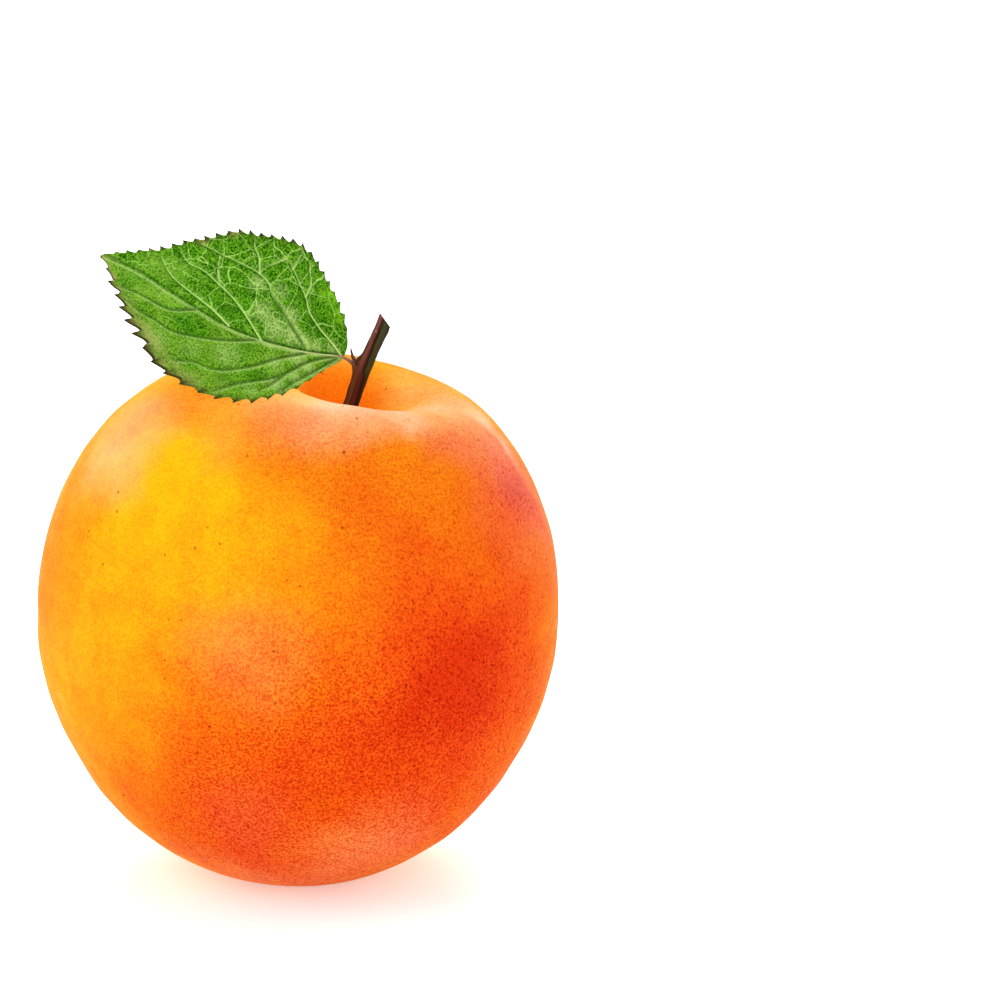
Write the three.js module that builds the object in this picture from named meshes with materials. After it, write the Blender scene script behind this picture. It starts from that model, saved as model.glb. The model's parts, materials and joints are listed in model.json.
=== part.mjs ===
// A whole apricot as picked: the fruit, the cut piece of twig that stands in its stem cavity,
// and one leaf on its stalk with a small stipule beside it.
// Millimetres, +Z up. The origin is the middle of the flat spot that the fruit rests on.
// The suture side of the fruit faces +X, and the leaf reaches out toward -X.

import * as THREE from 'three';
import { mergeVertices } from 'three/addons/utils/BufferGeometryUtils.js';

const degrees = THREE.MathUtils.degToRad;

// The fruit: a body a little flattened from front to back, measured from its core
const CORE_HEIGHT = 27.6;
const HALF_WIDTH = 26.2;
const HALF_DEPTH = 24.4;
const CROWN_HEIGHT = 26.85;
const FOOT_DEPTH = 28.43;
const SQUARENESS = 2.04;

// How far the body swells or shrinks toward three corners of its XZ outline, as a share
const SUTURE_SHOULDER = 0.089;
const BACK_SHOULDER = 0.04;
const SUTURE_FOOT = -0.072;

// The stem cavity, a dimple around an axis that leans toward the suture
const CAVITY_TILT = degrees(10.8);
const CAVITY_DEPTH = 8.9;
const CAVITY_ANGLE = degrees(14);
const CAVITY_EDGE = 2.2;
const CAVITY_SUTURE_STRETCH = 0.25;
const CAVITY_BACK_STRETCH = -0.22;

// The suture, a shallow furrow from the cavity down one side
const SUTURE_DEPTH = 0.6;
const SUTURE_WIDTH = 2.6;
const SUTURE_REACH = degrees(50);
const SUTURE_START = degrees(8);

// How finely the fruit is divided, and how much its rings crowd toward both ends
const FRUIT_SIDES = 52;
const FRUIT_RINGS = 38;
const RING_CROWDING = 0.45;

// The twig: the middle line from its foot in the cavity to its slanted cut
const TWIG_PATH = [
  [4.0, -0.35, 46.2],
  [4.9, -0.75, 47.9],
  [5.95, -1.6, 50.7],
  [6.85, -2.55, 53.5],
  [8.5, -3.6, 57.4],
  [8.95, -3.85, 58.5],
];
const TWIG_RADIUS = 0.76;
const TWIG_FOOT_SHARE = 0.86;
const TWIG_SIDES = 14;
const TWIG_RINGS = 16;
const CUT_NORMAL = new THREE.Vector3(0.81, 0.17, 0.56).normalize();

// The ridge that the leaf stalk leaves down the twig, and the node above it, as shares of
// the twig's length and radius
const NODE_PLACE = 0.62;
const NODE_SPREAD = 0.07;
const NODE_SWELL = 0.1;
const RIDGE_SWELL = 0.34;
const RIDGE_SPREAD = 0.5;
const RIDGE_END = 0.2;

// The leaf: where the blade starts and ends, and how it lies
const LEAF_FOOT = new THREE.Vector3(4.75, -3.4, 54.7);
const LEAF_TIP = new THREE.Vector3(-19.07, -1.0, 64.39);
const LEAF_SLOPE = degrees(46);
const LEAF_FOLD = degrees(12);
const LEAF_FOLD_ROUNDING = 0.8;
const LEAF_BOW = 3.0;
const LEAF_THICKNESS = 0.3;
const MIDRIB_RADIUS = 0.32;

// Lines on the flattened leaf, along it from the foot and across it toward the upper side
const MIDRIB_LINE = [
  [0, 0],
  [3.5, -1.9],
  [8, -3.4],
  [12, -3.7],
  [17.5, -2.45],
  [22, -0.9],
  [25.8, 0],
];
const UPPER_MARGIN = [
  [0, 0.4],
  [0.6, 2.3],
  [3.2, 4.6],
  [6.9, 6.9],
  [10.9, 6.6],
  [15.7, 4.8],
  [20.2, 2.2],
  [24.1, 0.55],
  [25.8, 0.07],
];
const LOWER_MARGIN = [
  [0, -0.4],
  [1.2, -2.9],
  [3.3, -7.3],
  [6.8, -11.4],
  [11.5, -12.9],
  [15.8, -12.2],
  [18.9, -9.4],
  [22.3, -5.2],
  [25.8, -0.07],
];

// The saw teeth of both margins
const TEETH = 20;
const TEETH_START = 0.05;
const TOOTH_PEAK = 0.7;
const TOOTH_HEIGHT = 0.55;
const TOOTH_SET_BACK = 0.6;

// How the leaf's grid of faces is laid out
const VEIN_SWEEP = 1.9;
const BLADE_COLUMNS = 8;
const COLUMN_CROWDING = 1.5;

// The leaf stalk, from just off the twig to the foot of the blade
const STALK_PATH = [
  [5.58, -3.2, 54.24],
  [5.2, -3.3, 54.52],
  [4.75, -3.4, 54.7],
];
const STALK_ROWS = 5;
const STALK_RADIUS = 0.24;

// The stipule, a thin spike behind the stalk
const STIPULE_PATH = [
  [5.6, -2.2, 54.2],
  [5.56, -2.4, 54.83],
  [5.5, -2.65, 55.48],
];
const STIPULE_RADIUS = 0.15;
const STIPULE_POINT_RADIUS = 0.04;
const STIPULE_SIDES = 8;
const STIPULE_RINGS = 6;

const vectors = (points) => points.map(([x, y, z = 0]) => new THREE.Vector3(x, y, z));
const spline = (points) => new THREE.CatmullRomCurve3(vectors(points), false, 'centripetal');
const square = (value) => value * value;
const bell = (value) => Math.exp(-square(value));

// Moves every corner of a closed geometry, and joins the corners that then coincide
function reshape(geometry, place) {
  const corners = geometry.getAttribute('position');
  const corner = new THREE.Vector3();
  for (let i = 0; i < corners.count; i += 1) {
    corner.fromBufferAttribute(corners, i);
    const placed = place(corner);
    corners.setXYZ(i, placed.x, placed.y, placed.z);
  }
  geometry.deleteAttribute('uv');
  geometry.deleteAttribute('normal');
  const joined = mergeVertices(geometry, 1e-4);
  joined.computeVertexNormals();
  return joined;
}

function part(name, geometry, color, roughness) {
  const material = new THREE.MeshStandardMaterial({ color, roughness, metalness: 0 });
  const mesh = new THREE.Mesh(geometry, material);
  mesh.name = name;
  return mesh;
}

// Distance from the core to a plain body with no dimple or furrow
function bodyRadius({ x, y, z }) {
  const halfHeight = z > 0 ? CROWN_HEIGHT : FOOT_DEPTH;
  const powers = Math.abs(x / HALF_WIDTH) ** SQUARENESS
    + Math.abs(y / HALF_DEPTH) ** SQUARENESS
    + Math.abs(z / halfHeight) ** SQUARENESS;
  const sutureSide = square(Math.max(x, 0));
  const backSide = square(Math.max(-x, 0));
  const upper = square(Math.max(z, 0));
  const lower = square(Math.max(-z, 0));
  const swelling = SUTURE_SHOULDER * sutureSide * upper
    + BACK_SHOULDER * backSide * upper
    + SUTURE_FOOT * sutureSide * lower;
  return powers ** (-1 / SQUARENESS) * (1 + swelling);
}

// Distance from the core to the skin in one direction
function skinRadius(direction) {
  const radius = bodyRadius(direction);
  const { x, y, z } = direction;
  const along = x * Math.cos(CAVITY_TILT) - z * Math.sin(CAVITY_TILT);
  const axial = x * Math.sin(CAVITY_TILT) + z * Math.cos(CAVITY_TILT);
  const angle = Math.acos(THREE.MathUtils.clamp(axial, -1, 1));
  const towardSuture = along / (Math.hypot(along, y) + 1e-9);
  const stretch = 1 + CAVITY_SUTURE_STRETCH * square(Math.max(towardSuture, 0))
    + CAVITY_BACK_STRETCH * square(Math.max(-towardSuture, 0));
  const cavity = CAVITY_DEPTH * Math.exp(-((angle / (CAVITY_ANGLE * stretch)) ** CAVITY_EDGE));
  const side = 0.5 + 0.5 * Math.tanh(6 * along);
  const fade = bell(angle / SUTURE_REACH) * (1 - bell(angle / SUTURE_START));
  const furrow = SUTURE_DEPTH * bell((radius * y) / SUTURE_WIDTH) * fade * side;
  return radius - cavity - furrow;
}

// The fruit is a sphere with each corner moved out to the skin. Its pole leans with the cavity,
// and what would reach below the ground is pressed flat.
function fruitGeometry() {
  const sphere = new THREE.SphereGeometry(1, FRUIT_SIDES, FRUIT_RINGS);
  return reshape(sphere, (corner) => {
    const turn = Math.acos(THREE.MathUtils.clamp(-corner.y, -1, 1)) / Math.PI;
    const polar = Math.PI * turn - (RING_CROWDING / 2) * Math.sin(2 * Math.PI * turn);
    const around = Math.atan2(-corner.z, corner.x);
    const direction = new THREE.Vector3(
      Math.sin(polar) * Math.cos(around),
      Math.sin(polar) * Math.sin(around),
      -Math.cos(polar),
    );
    const lean = CAVITY_TILT * square(0.5 - 0.5 * Math.cos(polar));
    direction.applyAxisAngle(new THREE.Vector3(0, 1, 0), lean);
    const placed = direction.clone().multiplyScalar(skinRadius(direction));
    placed.z = Math.max(placed.z + CORE_HEIGHT, 0);
    return placed;
  });
}

// Two directions square to a path: one toward -X, where the leaf is, and one toward +Y
function crossFrame(curve, share) {
  const tangent = curve.getTangentAt(share);
  const back = new THREE.Vector3(-1, 0, 0).cross(tangent).normalize();
  const side = tangent.clone().cross(back);
  return { tangent, back, side };
}

// A round rod along a path. The radius may change with the share of the length and the angle,
// where angle 0 faces -X.
function rodGeometry(curve, sides, rings, radiusAt, endCut) {
  const cylinder = new THREE.CylinderGeometry(1, 1, 1, sides, rings);
  return reshape(cylinder, (corner) => {
    const share = corner.y + 0.5;
    const { tangent, back, side } = crossFrame(curve, share);
    const angle = Math.atan2(corner.z, corner.x);
    const radius = Math.hypot(corner.x, corner.z) * radiusAt(share, angle);
    const placed = curve.getPointAt(share)
      .addScaledVector(side, radius * Math.cos(angle))
      .addScaledVector(back, radius * Math.sin(angle));
    if (endCut) {
      const end = curve.getPointAt(1);
      const slide = -placed.clone().sub(end).dot(endCut) / tangent.dot(endCut);
      const nearEnd = THREE.MathUtils.smoothstep(share, 0.9, 1);
      const level = curve.getPointAt(share).sub(end).dot(endCut) / tangent.dot(endCut);
      placed.addScaledVector(tangent, (slide + level) * nearEnd);
    }
    return placed;
  });
}

function twigRadius(share, angle) {
  const node = NODE_SWELL * bell((share - NODE_PLACE) / NODE_SPREAD);
  const below = THREE.MathUtils.smoothstep(share, RIDGE_END, NODE_PLACE)
    * (1 - THREE.MathUtils.smoothstep(share, NODE_PLACE, NODE_PLACE + NODE_SPREAD));
  const ridge = RIDGE_SWELL * below * bell(angle / RIDGE_SPREAD);
  const taper = THREE.MathUtils.lerp(TWIG_FOOT_SHARE, 1, Math.min(share / RIDGE_END, 1));
  return TWIG_RADIUS * taper * (1 + node + ridge);
}

// The leaf's own directions: along it, across it and off its upper face
const leafLength = LEAF_TIP.distanceTo(LEAF_FOOT);
const leafAlong = LEAF_TIP.clone().sub(LEAF_FOOT).normalize();
const leafAcross = new THREE.Vector3(0, Math.cos(LEAF_SLOPE), Math.sin(LEAF_SLOPE));
leafAcross.addScaledVector(leafAlong, -leafAcross.dot(leafAlong)).normalize();
const leafUp = leafAcross.clone().cross(leafAlong);

const midribLine = spline(MIDRIB_LINE);
const upperMargin = spline(UPPER_MARGIN);
const lowerMargin = spline(LOWER_MARGIN);

// How far the middle vein lies across the leaf at a distance along it
function midribAcross(along) {
  let low = 0;
  let high = 1;
  for (let i = 0; i < 24; i += 1) {
    const middle = (low + high) / 2;
    if (midribLine.getPoint(middle).x < along) {
      low = middle;
    } else {
      high = middle;
    }
  }
  return midribLine.getPoint(low).y;
}

// A place on the leaf: bowed along its length and folded along the middle vein
function leafPoint(along, across, lift) {
  const off = across - midribAcross(along);
  const fold = Math.tan(LEAF_FOLD) * (Math.hypot(off, LEAF_FOLD_ROUNDING) - LEAF_FOLD_ROUNDING);
  const bow = LEAF_BOW * Math.sin(Math.PI * THREE.MathUtils.clamp(along / leafLength, 0, 1));
  return LEAF_FOOT.clone()
    .addScaledVector(leafAlong, along)
    .addScaledVector(leafAcross, across)
    .addScaledVector(leafUp, fold + bow + lift);
}

// The rows of the blade: a valley and a peak for each tooth, and the tip
function bladeRows() {
  const rows = [{ share: 0, step: 0 }, { share: TEETH_START / 2, step: 0 }];
  const pitch = (1 - TEETH_START) / TEETH;
  for (let tooth = 0; tooth < TEETH; tooth += 1) {
    const start = TEETH_START + tooth * pitch;
    const size = TOOTH_HEIGHT * Math.min(1, (tooth + 1) / 4, (TEETH - tooth) / 3);
    rows.push({ share: start, step: -TOOTH_SET_BACK * size });
    rows.push({ share: start + TOOTH_PEAK * pitch, step: (1 - TOOTH_SET_BACK) * size });
  }
  rows.push({ share: 1, step: 0 });
  return rows;
}

// A point on a margin, moved outward by the row's tooth
function marginPoint(margin, row, outward) {
  const point = margin.getPointAt(row.share);
  const tangent = margin.getTangentAt(row.share);
  point.x += -tangent.y * outward * row.step;
  point.y += tangent.x * outward * row.step;
  return point;
}

// The leaf is a flat box whose rows first follow the stalk and then cross the blade
function leafGeometry() {
  const rows = bladeRows();
  const stalk = spline(STALK_PATH);
  const rowCount = STALK_ROWS + rows.length - 1;
  const box = new THREE.BoxGeometry(1, 1, 1, rowCount, BLADE_COLUMNS, 1);
  return reshape(box, (corner) => {
    const index = Math.round((corner.x + 0.5) * rowCount);
    const column = -2 * corner.y;
    const top = corner.z > 0;
    if (index < STALK_ROWS) {
      const round = Math.sqrt(1 - square(0.9 * column));
      return stalk.getPointAt(index / STALK_ROWS)
        .addScaledVector(leafAcross, column * STALK_RADIUS)
        .addScaledVector(leafUp, (top ? 1 : -1) * STALK_RADIUS * round - LEAF_THICKNESS / 2);
    }
    const row = rows[index - STALK_ROWS];
    const outer = column > 0 ? marginPoint(upperMargin, row, 1) : marginPoint(lowerMargin, row, -1);
    const middle = leafLength * row.share ** VEIN_SWEEP;
    const share = Math.abs(column) ** COLUMN_CROWDING;
    const along = THREE.MathUtils.lerp(middle, outer.x, share);
    const across = THREE.MathUtils.lerp(midribAcross(middle), outer.y, share);
    const rib = MIDRIB_RADIUS * (1 - row.share) * bell((share * 4) ** 2);
    return leafPoint(along, across, top ? 0 : -LEAF_THICKNESS - rib);
  });
}

const apricot = new THREE.Group();

apricot.add(part('fruit', fruitGeometry(), '#f48a26', 0.55));

const twigLine = spline(TWIG_PATH);
const twigGeometry = rodGeometry(twigLine, TWIG_SIDES, TWIG_RINGS, twigRadius, CUT_NORMAL);
apricot.add(part('twig', twigGeometry, '#5c2f22', 0.6));

apricot.add(part('leaf', leafGeometry(), '#4f9a2c', 0.5));

const stipuleRadius = (share) => THREE.MathUtils.lerp(STIPULE_RADIUS, STIPULE_POINT_RADIUS, share);
const stipuleLine = spline(STIPULE_PATH);
const stipule = rodGeometry(stipuleLine, STIPULE_SIDES, STIPULE_RINGS, stipuleRadius);
apricot.add(part('stipule', stipule, '#4a2a1e', 0.65));

export default apricot;
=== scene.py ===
# %% [markdown]
# # A whole apricot with its twig and leaf
# This lesson dresses a packed CAD model of a ripe apricot. The model already has the right size
# and the right place for four grown pieces: the fruit, the cut twig, the leaf and a thin stipule.
# Each piece is made again here with many more faces, from the same few measures, and then it gets
# a finish made of nodes. Work in that order: frame first, shapes next, finishes last.

# %% Load the packed model
import json
import math

import bmesh
import bpy
import numpy as np
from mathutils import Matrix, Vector

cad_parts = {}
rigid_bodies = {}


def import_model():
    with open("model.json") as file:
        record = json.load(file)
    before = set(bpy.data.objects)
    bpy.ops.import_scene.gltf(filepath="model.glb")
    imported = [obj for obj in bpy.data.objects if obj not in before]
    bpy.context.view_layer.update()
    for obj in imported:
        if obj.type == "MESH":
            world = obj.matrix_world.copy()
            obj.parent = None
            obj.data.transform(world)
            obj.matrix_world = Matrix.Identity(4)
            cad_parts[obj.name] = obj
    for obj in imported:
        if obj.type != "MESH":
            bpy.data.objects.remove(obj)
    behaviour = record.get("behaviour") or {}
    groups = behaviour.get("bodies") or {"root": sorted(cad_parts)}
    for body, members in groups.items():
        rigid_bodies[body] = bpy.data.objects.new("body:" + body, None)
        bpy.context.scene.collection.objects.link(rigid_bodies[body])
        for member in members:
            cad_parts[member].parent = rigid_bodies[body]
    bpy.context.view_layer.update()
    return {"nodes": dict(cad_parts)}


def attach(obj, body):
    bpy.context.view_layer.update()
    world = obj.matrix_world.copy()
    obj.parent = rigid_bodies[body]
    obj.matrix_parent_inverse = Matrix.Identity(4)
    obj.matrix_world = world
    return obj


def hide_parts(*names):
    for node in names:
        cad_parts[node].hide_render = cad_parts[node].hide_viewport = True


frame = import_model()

print("CAD nodes:", sorted(frame["nodes"]))

# %% [markdown]
# ## Camera first
# A small fruit looks natural through a long lens from about half a metre away: there is little
# perspective, and its round outline stays round. The camera looks a little down, so that the near
# rim of the stem cavity hides the cavity's floor. Setting it before any shape lets every later
# test render be compared with the one before.

# %% Camera
CAMERA_TARGET = Vector((0.0202, 0.0, 0.03889))
CAMERA_DISTANCE = 0.5
CAMERA_ELEVATION = math.radians(17)
LENS = 180
SENSOR_WIDTH = 36

camera_data = bpy.data.cameras.new("table_camera")
camera_data.lens = LENS
camera_data.sensor_width = SENSOR_WIDTH
camera = bpy.data.objects.new("table_camera", camera_data)
bpy.context.collection.objects.link(camera)
toward_camera = Vector((0, -math.cos(CAMERA_ELEVATION), math.sin(CAMERA_ELEVATION)))
camera.location = CAMERA_TARGET + CAMERA_DISTANCE * toward_camera
camera.rotation_euler = (math.pi / 2 - CAMERA_ELEVATION, 0, 0)
bpy.context.scene.camera = camera
print("Camera at", tuple(round(value, 3) for value in camera.location))

# %% [markdown]
# ## A white table in a bright room
# Fruit in a catalogue stands on white, lit so softly from all sides that its shadow almost
# vanishes. A white floor and a white sky do most of that, and the floor also throws light back
# up onto the underside of the fruit. The floor gives off a faint light of its own as well, which
# a real table can't do, so that even the shadow close under the fruit stays pale. Four broad
# lamps shape the form: one high on the left, one in front, one on the right, and a stronger one
# above and behind that draws a pale edge along the shoulders.

# %% Floor, sky and lamps
FLOOR_SIZE = 6.0
FLOOR_WHITE = (0.97, 0.97, 0.97, 1)
FLOOR_GLOW = 0.33
SKY_STRENGTH = 1.0
LAMP_TARGET = Vector((0, 0, 0.03))

floor_mesh = bpy.data.meshes.new("white_table")
half = FLOOR_SIZE / 2
corners = [(-half, -half, 0), (half, -half, 0), (half, half, 0), (-half, half, 0)]
floor_mesh.from_pydata(corners, [], [(0, 1, 2, 3)])
floor = bpy.data.objects.new("white_table", floor_mesh)
bpy.context.collection.objects.link(floor)

floor_finish = bpy.data.materials.new("white table top")
floor_finish.use_nodes = True
floor_shader = floor_finish.node_tree.nodes["Principled BSDF"]
floor_shader.inputs["Base Color"].default_value = FLOOR_WHITE
floor_shader.inputs["Roughness"].default_value = 0.9
floor_shader.inputs["Specular IOR Level"].default_value = 0.0
floor_shader.inputs["Emission Color"].default_value = (1, 1, 1, 1)
floor_shader.inputs["Emission Strength"].default_value = FLOOR_GLOW
floor_mesh.materials.append(floor_finish)

sky = bpy.data.worlds.new("white room")
bpy.context.scene.world = sky
sky.use_nodes = True
sky.node_tree.nodes["Background"].inputs["Color"].default_value = (1, 1, 1, 1)
sky.node_tree.nodes["Background"].inputs["Strength"].default_value = SKY_STRENGTH
bpy.context.scene.view_settings.view_transform = "Standard"


def soft_lamp(name, place, size, power):
    """A square lamp that faces the fruit, with its place and size in metres."""
    data = bpy.data.lights.new(name, "AREA")
    data.shape = "SQUARE"
    data.size = size
    data.energy = power
    lamp = bpy.data.objects.new(name, data)
    bpy.context.collection.objects.link(lamp)
    lamp.location = place
    lamp.rotation_euler = (LAMP_TARGET - lamp.location).to_track_quat("-Z", "Y").to_euler()


soft_lamp("high_left_lamp", (-0.7, -0.5, 0.8), size=0.6, power=2.2)
soft_lamp("front_lamp", (-0.05, -0.9, 0.4), size=0.6, power=1.0)
soft_lamp("low_right_lamp", (0.8, -0.5, 0.4), size=0.6, power=0.6)
soft_lamp("back_lamp", (0.05, 0.75, 0.8), size=0.7, power=7.0)

# %% [markdown]
# ## Helpers for grown shapes
# Everything here is measured in millimetres and turned into metres when a mesh is made, because
# millimetres are easier to think in at this size. Two helpers are enough for most of the work:
# a smooth line through a few points, and a closed mesh over rings of points.

# %% Smooth lines
METRES = 0.001


def bell(value):
    """1 in the middle, falling smoothly to nothing on both sides."""
    return np.exp(-np.square(value))


def ease(value, start, end):
    """0 before start, 1 after end, and smooth between them."""
    share = np.clip((value - start) / (end - start), 0, 1)
    return share * share * (3 - 2 * share)


def blend(first, second, share):
    return first + (second - first) * share


class SmoothLine:
    """A centripetal Catmull-Rom line through points, measured by its own length."""

    STEPS = 1200

    def __init__(self, points):
        given = np.array(points, float)
        before = 2 * given[0] - given[1]
        after = 2 * given[-1] - given[-2]
        knots = np.vstack([before, given, after])
        pieces = []
        for index in range(len(given) - 1):
            pieces.append(self.stretch(knots[index:index + 4], self.STEPS // (len(given) - 1)))
        self.path = np.vstack(pieces + [given[-1:]])
        steps = np.linalg.norm(np.diff(self.path, axis=0), axis=1)
        self.run = np.concatenate([[0], np.cumsum(steps)])
        self.length = self.run[-1]

    @staticmethod
    def stretch(knots, count):
        gaps = np.sqrt(np.linalg.norm(np.diff(knots, axis=0), axis=1))
        slopes = np.diff(knots, axis=0) / gaps[:, None]
        middle = (knots[2:] - knots[:-2]) / (gaps[:-1] + gaps[1:])[:, None]
        leave = (slopes[0] - middle[0] + slopes[1]) * gaps[1]
        arrive = (slopes[1] - middle[1] + slopes[2]) * gaps[1]
        share = np.linspace(0, 1, count, endpoint=False)[:, None]
        bend = -3 * knots[1] + 3 * knots[2] - 2 * leave - arrive
        twist = 2 * knots[1] - 2 * knots[2] + leave + arrive
        return knots[1] + leave * share + bend * share ** 2 + twist * share ** 3

    def at(self, shares):
        """Points at these shares of the length."""
        run = np.asarray(shares) * self.length
        return np.stack([np.interp(run, self.run, axis) for axis in self.path.T], axis=-1)

    def direction(self, shares):
        """Unit directions at these shares of the length."""
        shares = np.asarray(shares)
        ahead = self.at(np.minimum(shares + 1e-3, 1)) - self.at(np.maximum(shares - 1e-3, 0))
        return ahead / np.linalg.norm(ahead, axis=-1, keepdims=True)


print("A smooth line through three points is", round(SmoothLine([(0, 0), (1, 1), (2, 0)]).length, 2))

# %% Lumps
LUMP_WAVES = 14


def soft_lumps(places, size, seed):
    """Smooth unevenness around zero, made of crossing waves about size millimetres long."""
    random = np.random.default_rng(seed)
    total = np.zeros(places.shape[:-1])
    for _ in range(LUMP_WAVES):
        direction = random.normal(size=places.shape[-1])
        direction *= 2 * np.pi / (size * random.uniform(0.8, 1.25) * np.linalg.norm(direction))
        total += np.sin(places @ direction + random.uniform(0, 2 * np.pi))
    return total / math.sqrt(LUMP_WAVES)


line_of_places = np.stack([np.linspace(0, 2, 5)] * 3, axis=1)
print("Lumps 3 mm long, at five places:", soft_lumps(line_of_places, 3, seed=1).round(2))

# %% [markdown]
# A fruit, a twig and a stipule can all be made of rings of points, with one point before the
# first ring and one after the last, so one helper lists the faces for all of them. Another turns
# points and faces into an object. It also checks that the faces look outward, and it stores
# marks: one value for each point, such as how near a vein it is, which a finish can read later.

# %% Closed meshes
def make_piece(name, points, faces, marks=None):
    """A smooth closed object from points in millimetres. Each mark has one value per point."""
    mesh = bpy.data.meshes.new(name)
    mesh.from_pydata((points * METRES).tolist(), [], faces)
    shell = bmesh.new()
    shell.from_mesh(mesh)
    if shell.calc_volume(signed=True) < 0:
        bmesh.ops.reverse_faces(shell, faces=shell.faces)
        shell.to_mesh(mesh)
    shell.free()
    mesh.polygons.foreach_set("use_smooth", np.ones(len(mesh.polygons), bool))
    for mark, values in (marks or {}).items():
        values = np.asarray(values, np.float32)
        kind, field = ("FLOAT", "value") if values.ndim == 1 else ("FLOAT_VECTOR", "vector")
        mesh.attributes.new(mark, kind, "POINT").data.foreach_set(field, values.ravel())
    mesh.update()
    piece = bpy.data.objects.new(name, mesh)
    bpy.context.collection.objects.link(piece)
    print(name, "has", len(mesh.vertices), "points and", len(mesh.polygons), "faces")
    return piece


def ring_faces(rings, sides):
    """Faces between rings of points, with a fan to one point before and one after the rings."""
    faces = []
    last = rings * sides + 1
    for side in range(sides):
        after = (side + 1) % sides
        faces.append((0, 1 + after, 1 + side))
        for ring in range(rings - 1):
            low = 1 + ring * sides
            high = low + sides
            faces.append((low + side, low + after, high + after, high + side))
        low = 1 + (rings - 1) * sides
        faces.append((low + side, low + after, last))
    return faces


def ring_points(first, rings, last):
    return np.vstack([first[None, :], rings.reshape(-1, 3), last[None, :]])


def per_point(table, first, last):
    """A mark for a piece made of rings: a table of rings by sides, between two end values."""
    return np.concatenate([[first], np.asarray(table).ravel(), [last]])


print("Two rings of three points take", len(ring_faces(2, 3)), "faces")

# %% [markdown]
# ## The fruit
# An apricot is a slightly flattened ball with a dimple where its stem grew and a shallow furrow,
# the suture, down one side. It could be sculpted, but a formula keeps the fine mesh exactly on
# the packed solid: each direction from the core gives one distance to the skin. To that come
# unevenness of a tenth of a millimetre, small creases in the dimple, and the corky collar around
# the stem, so that highlights break up as they do on a grown skin.

# %% Fruit measures
CORE_HEIGHT = 27.6
HALF_WIDTH = 26.2
HALF_DEPTH = 24.4
CROWN_HEIGHT = 26.85
FOOT_DEPTH = 28.43
SQUARENESS = 2.04
SUTURE_SHOULDER = 0.089
BACK_SHOULDER = 0.04
SUTURE_FOOT = -0.072
CAVITY_TILT = math.radians(10.8)
CAVITY_DEPTH = 8.9
CAVITY_ANGLE = math.radians(14)
CAVITY_EDGE = 2.2
CAVITY_SUTURE_STRETCH = 0.25
CAVITY_BACK_STRETCH = -0.22
SUTURE_DEPTH = 0.6
SUTURE_WIDTH = 2.6
SUTURE_REACH = math.radians(50)
SUTURE_START = math.radians(8)
RING_CROWDING = 0.45
FRUIT_SIDES = 352
FRUIT_RINGS = 256

print("The fruit's body:", 2 * HALF_WIDTH, "by", 2 * HALF_DEPTH, "mm across")

# %% Fruit formula
def body_radius(x, y, z):
    """Distance from the core to a plain body with no dimple or furrow."""
    half_height = np.where(z > 0, CROWN_HEIGHT, FOOT_DEPTH)
    powers = np.abs(x / HALF_WIDTH) ** SQUARENESS
    powers += np.abs(y / HALF_DEPTH) ** SQUARENESS
    powers += np.abs(z / half_height) ** SQUARENESS
    suture_side = np.maximum(x, 0) ** 2
    back_side = np.maximum(-x, 0) ** 2
    upper = np.maximum(z, 0) ** 2
    lower = np.maximum(-z, 0) ** 2
    swelling = SUTURE_SHOULDER * suture_side * upper
    swelling += BACK_SHOULDER * back_side * upper
    swelling += SUTURE_FOOT * suture_side * lower
    return powers ** (-1 / SQUARENESS) * (1 + swelling)


def cavity_angle(x, z):
    """Angle between a direction and the axis of the stem cavity."""
    return np.arccos(np.clip(x * math.sin(CAVITY_TILT) + z * math.cos(CAVITY_TILT), -1, 1))


def skin_radius(x, y, z):
    """Distance from the core to the skin in one direction."""
    radius = body_radius(x, y, z)
    along = x * math.cos(CAVITY_TILT) - z * math.sin(CAVITY_TILT)
    angle = cavity_angle(x, z)
    toward_suture = along / (np.hypot(along, y) + 1e-9)
    stretch = 1 + CAVITY_SUTURE_STRETCH * np.maximum(toward_suture, 0) ** 2
    stretch += CAVITY_BACK_STRETCH * np.maximum(-toward_suture, 0) ** 2
    cavity = CAVITY_DEPTH * np.exp(-(angle / (CAVITY_ANGLE * stretch)) ** CAVITY_EDGE)
    side = 0.5 + 0.5 * np.tanh(6 * along)
    fade = bell(angle / SUTURE_REACH) * (1 - bell(angle / SUTURE_START))
    furrow = SUTURE_DEPTH * bell(radius * y / SUTURE_WIDTH) * fade * side
    return radius - cavity - furrow


print("From the core to the skin, toward -Y:", round(float(skin_radius(0.0, -1.0, 0.0)), 2), "mm")

# %% [markdown]
# The fine relief is added as a distance too. The lumps fade out toward the ground, so that the
# fruit still rests on its small flat spot. The creases run down into the dimple like pleats,
# because the skin is drawn in where the stem was joined.

# %% Fruit relief and mesh
LUMP_HEIGHT = 0.1
LUMP_SIZE = 15
DIMPLE_HEIGHT = 0.03
DIMPLE_SIZE = 4.5
RELIEF_RISE = (0.5, 7)
PLEATS = 9
PLEAT_HEIGHT = 0.09
PLEAT_TOP = (0.02, 0.12)
PLEAT_END = (0.16, 0.42)
PLEAT_WAVER = 0.6
PLEAT_WAVER_SIZE = 11
COLLAR_ANGLE = math.radians(4.4)
COLLAR_SPREAD = 0.3
COLLAR_HEIGHT = 0.3
COLLAR_MARK_REACH = 1.35


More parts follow.
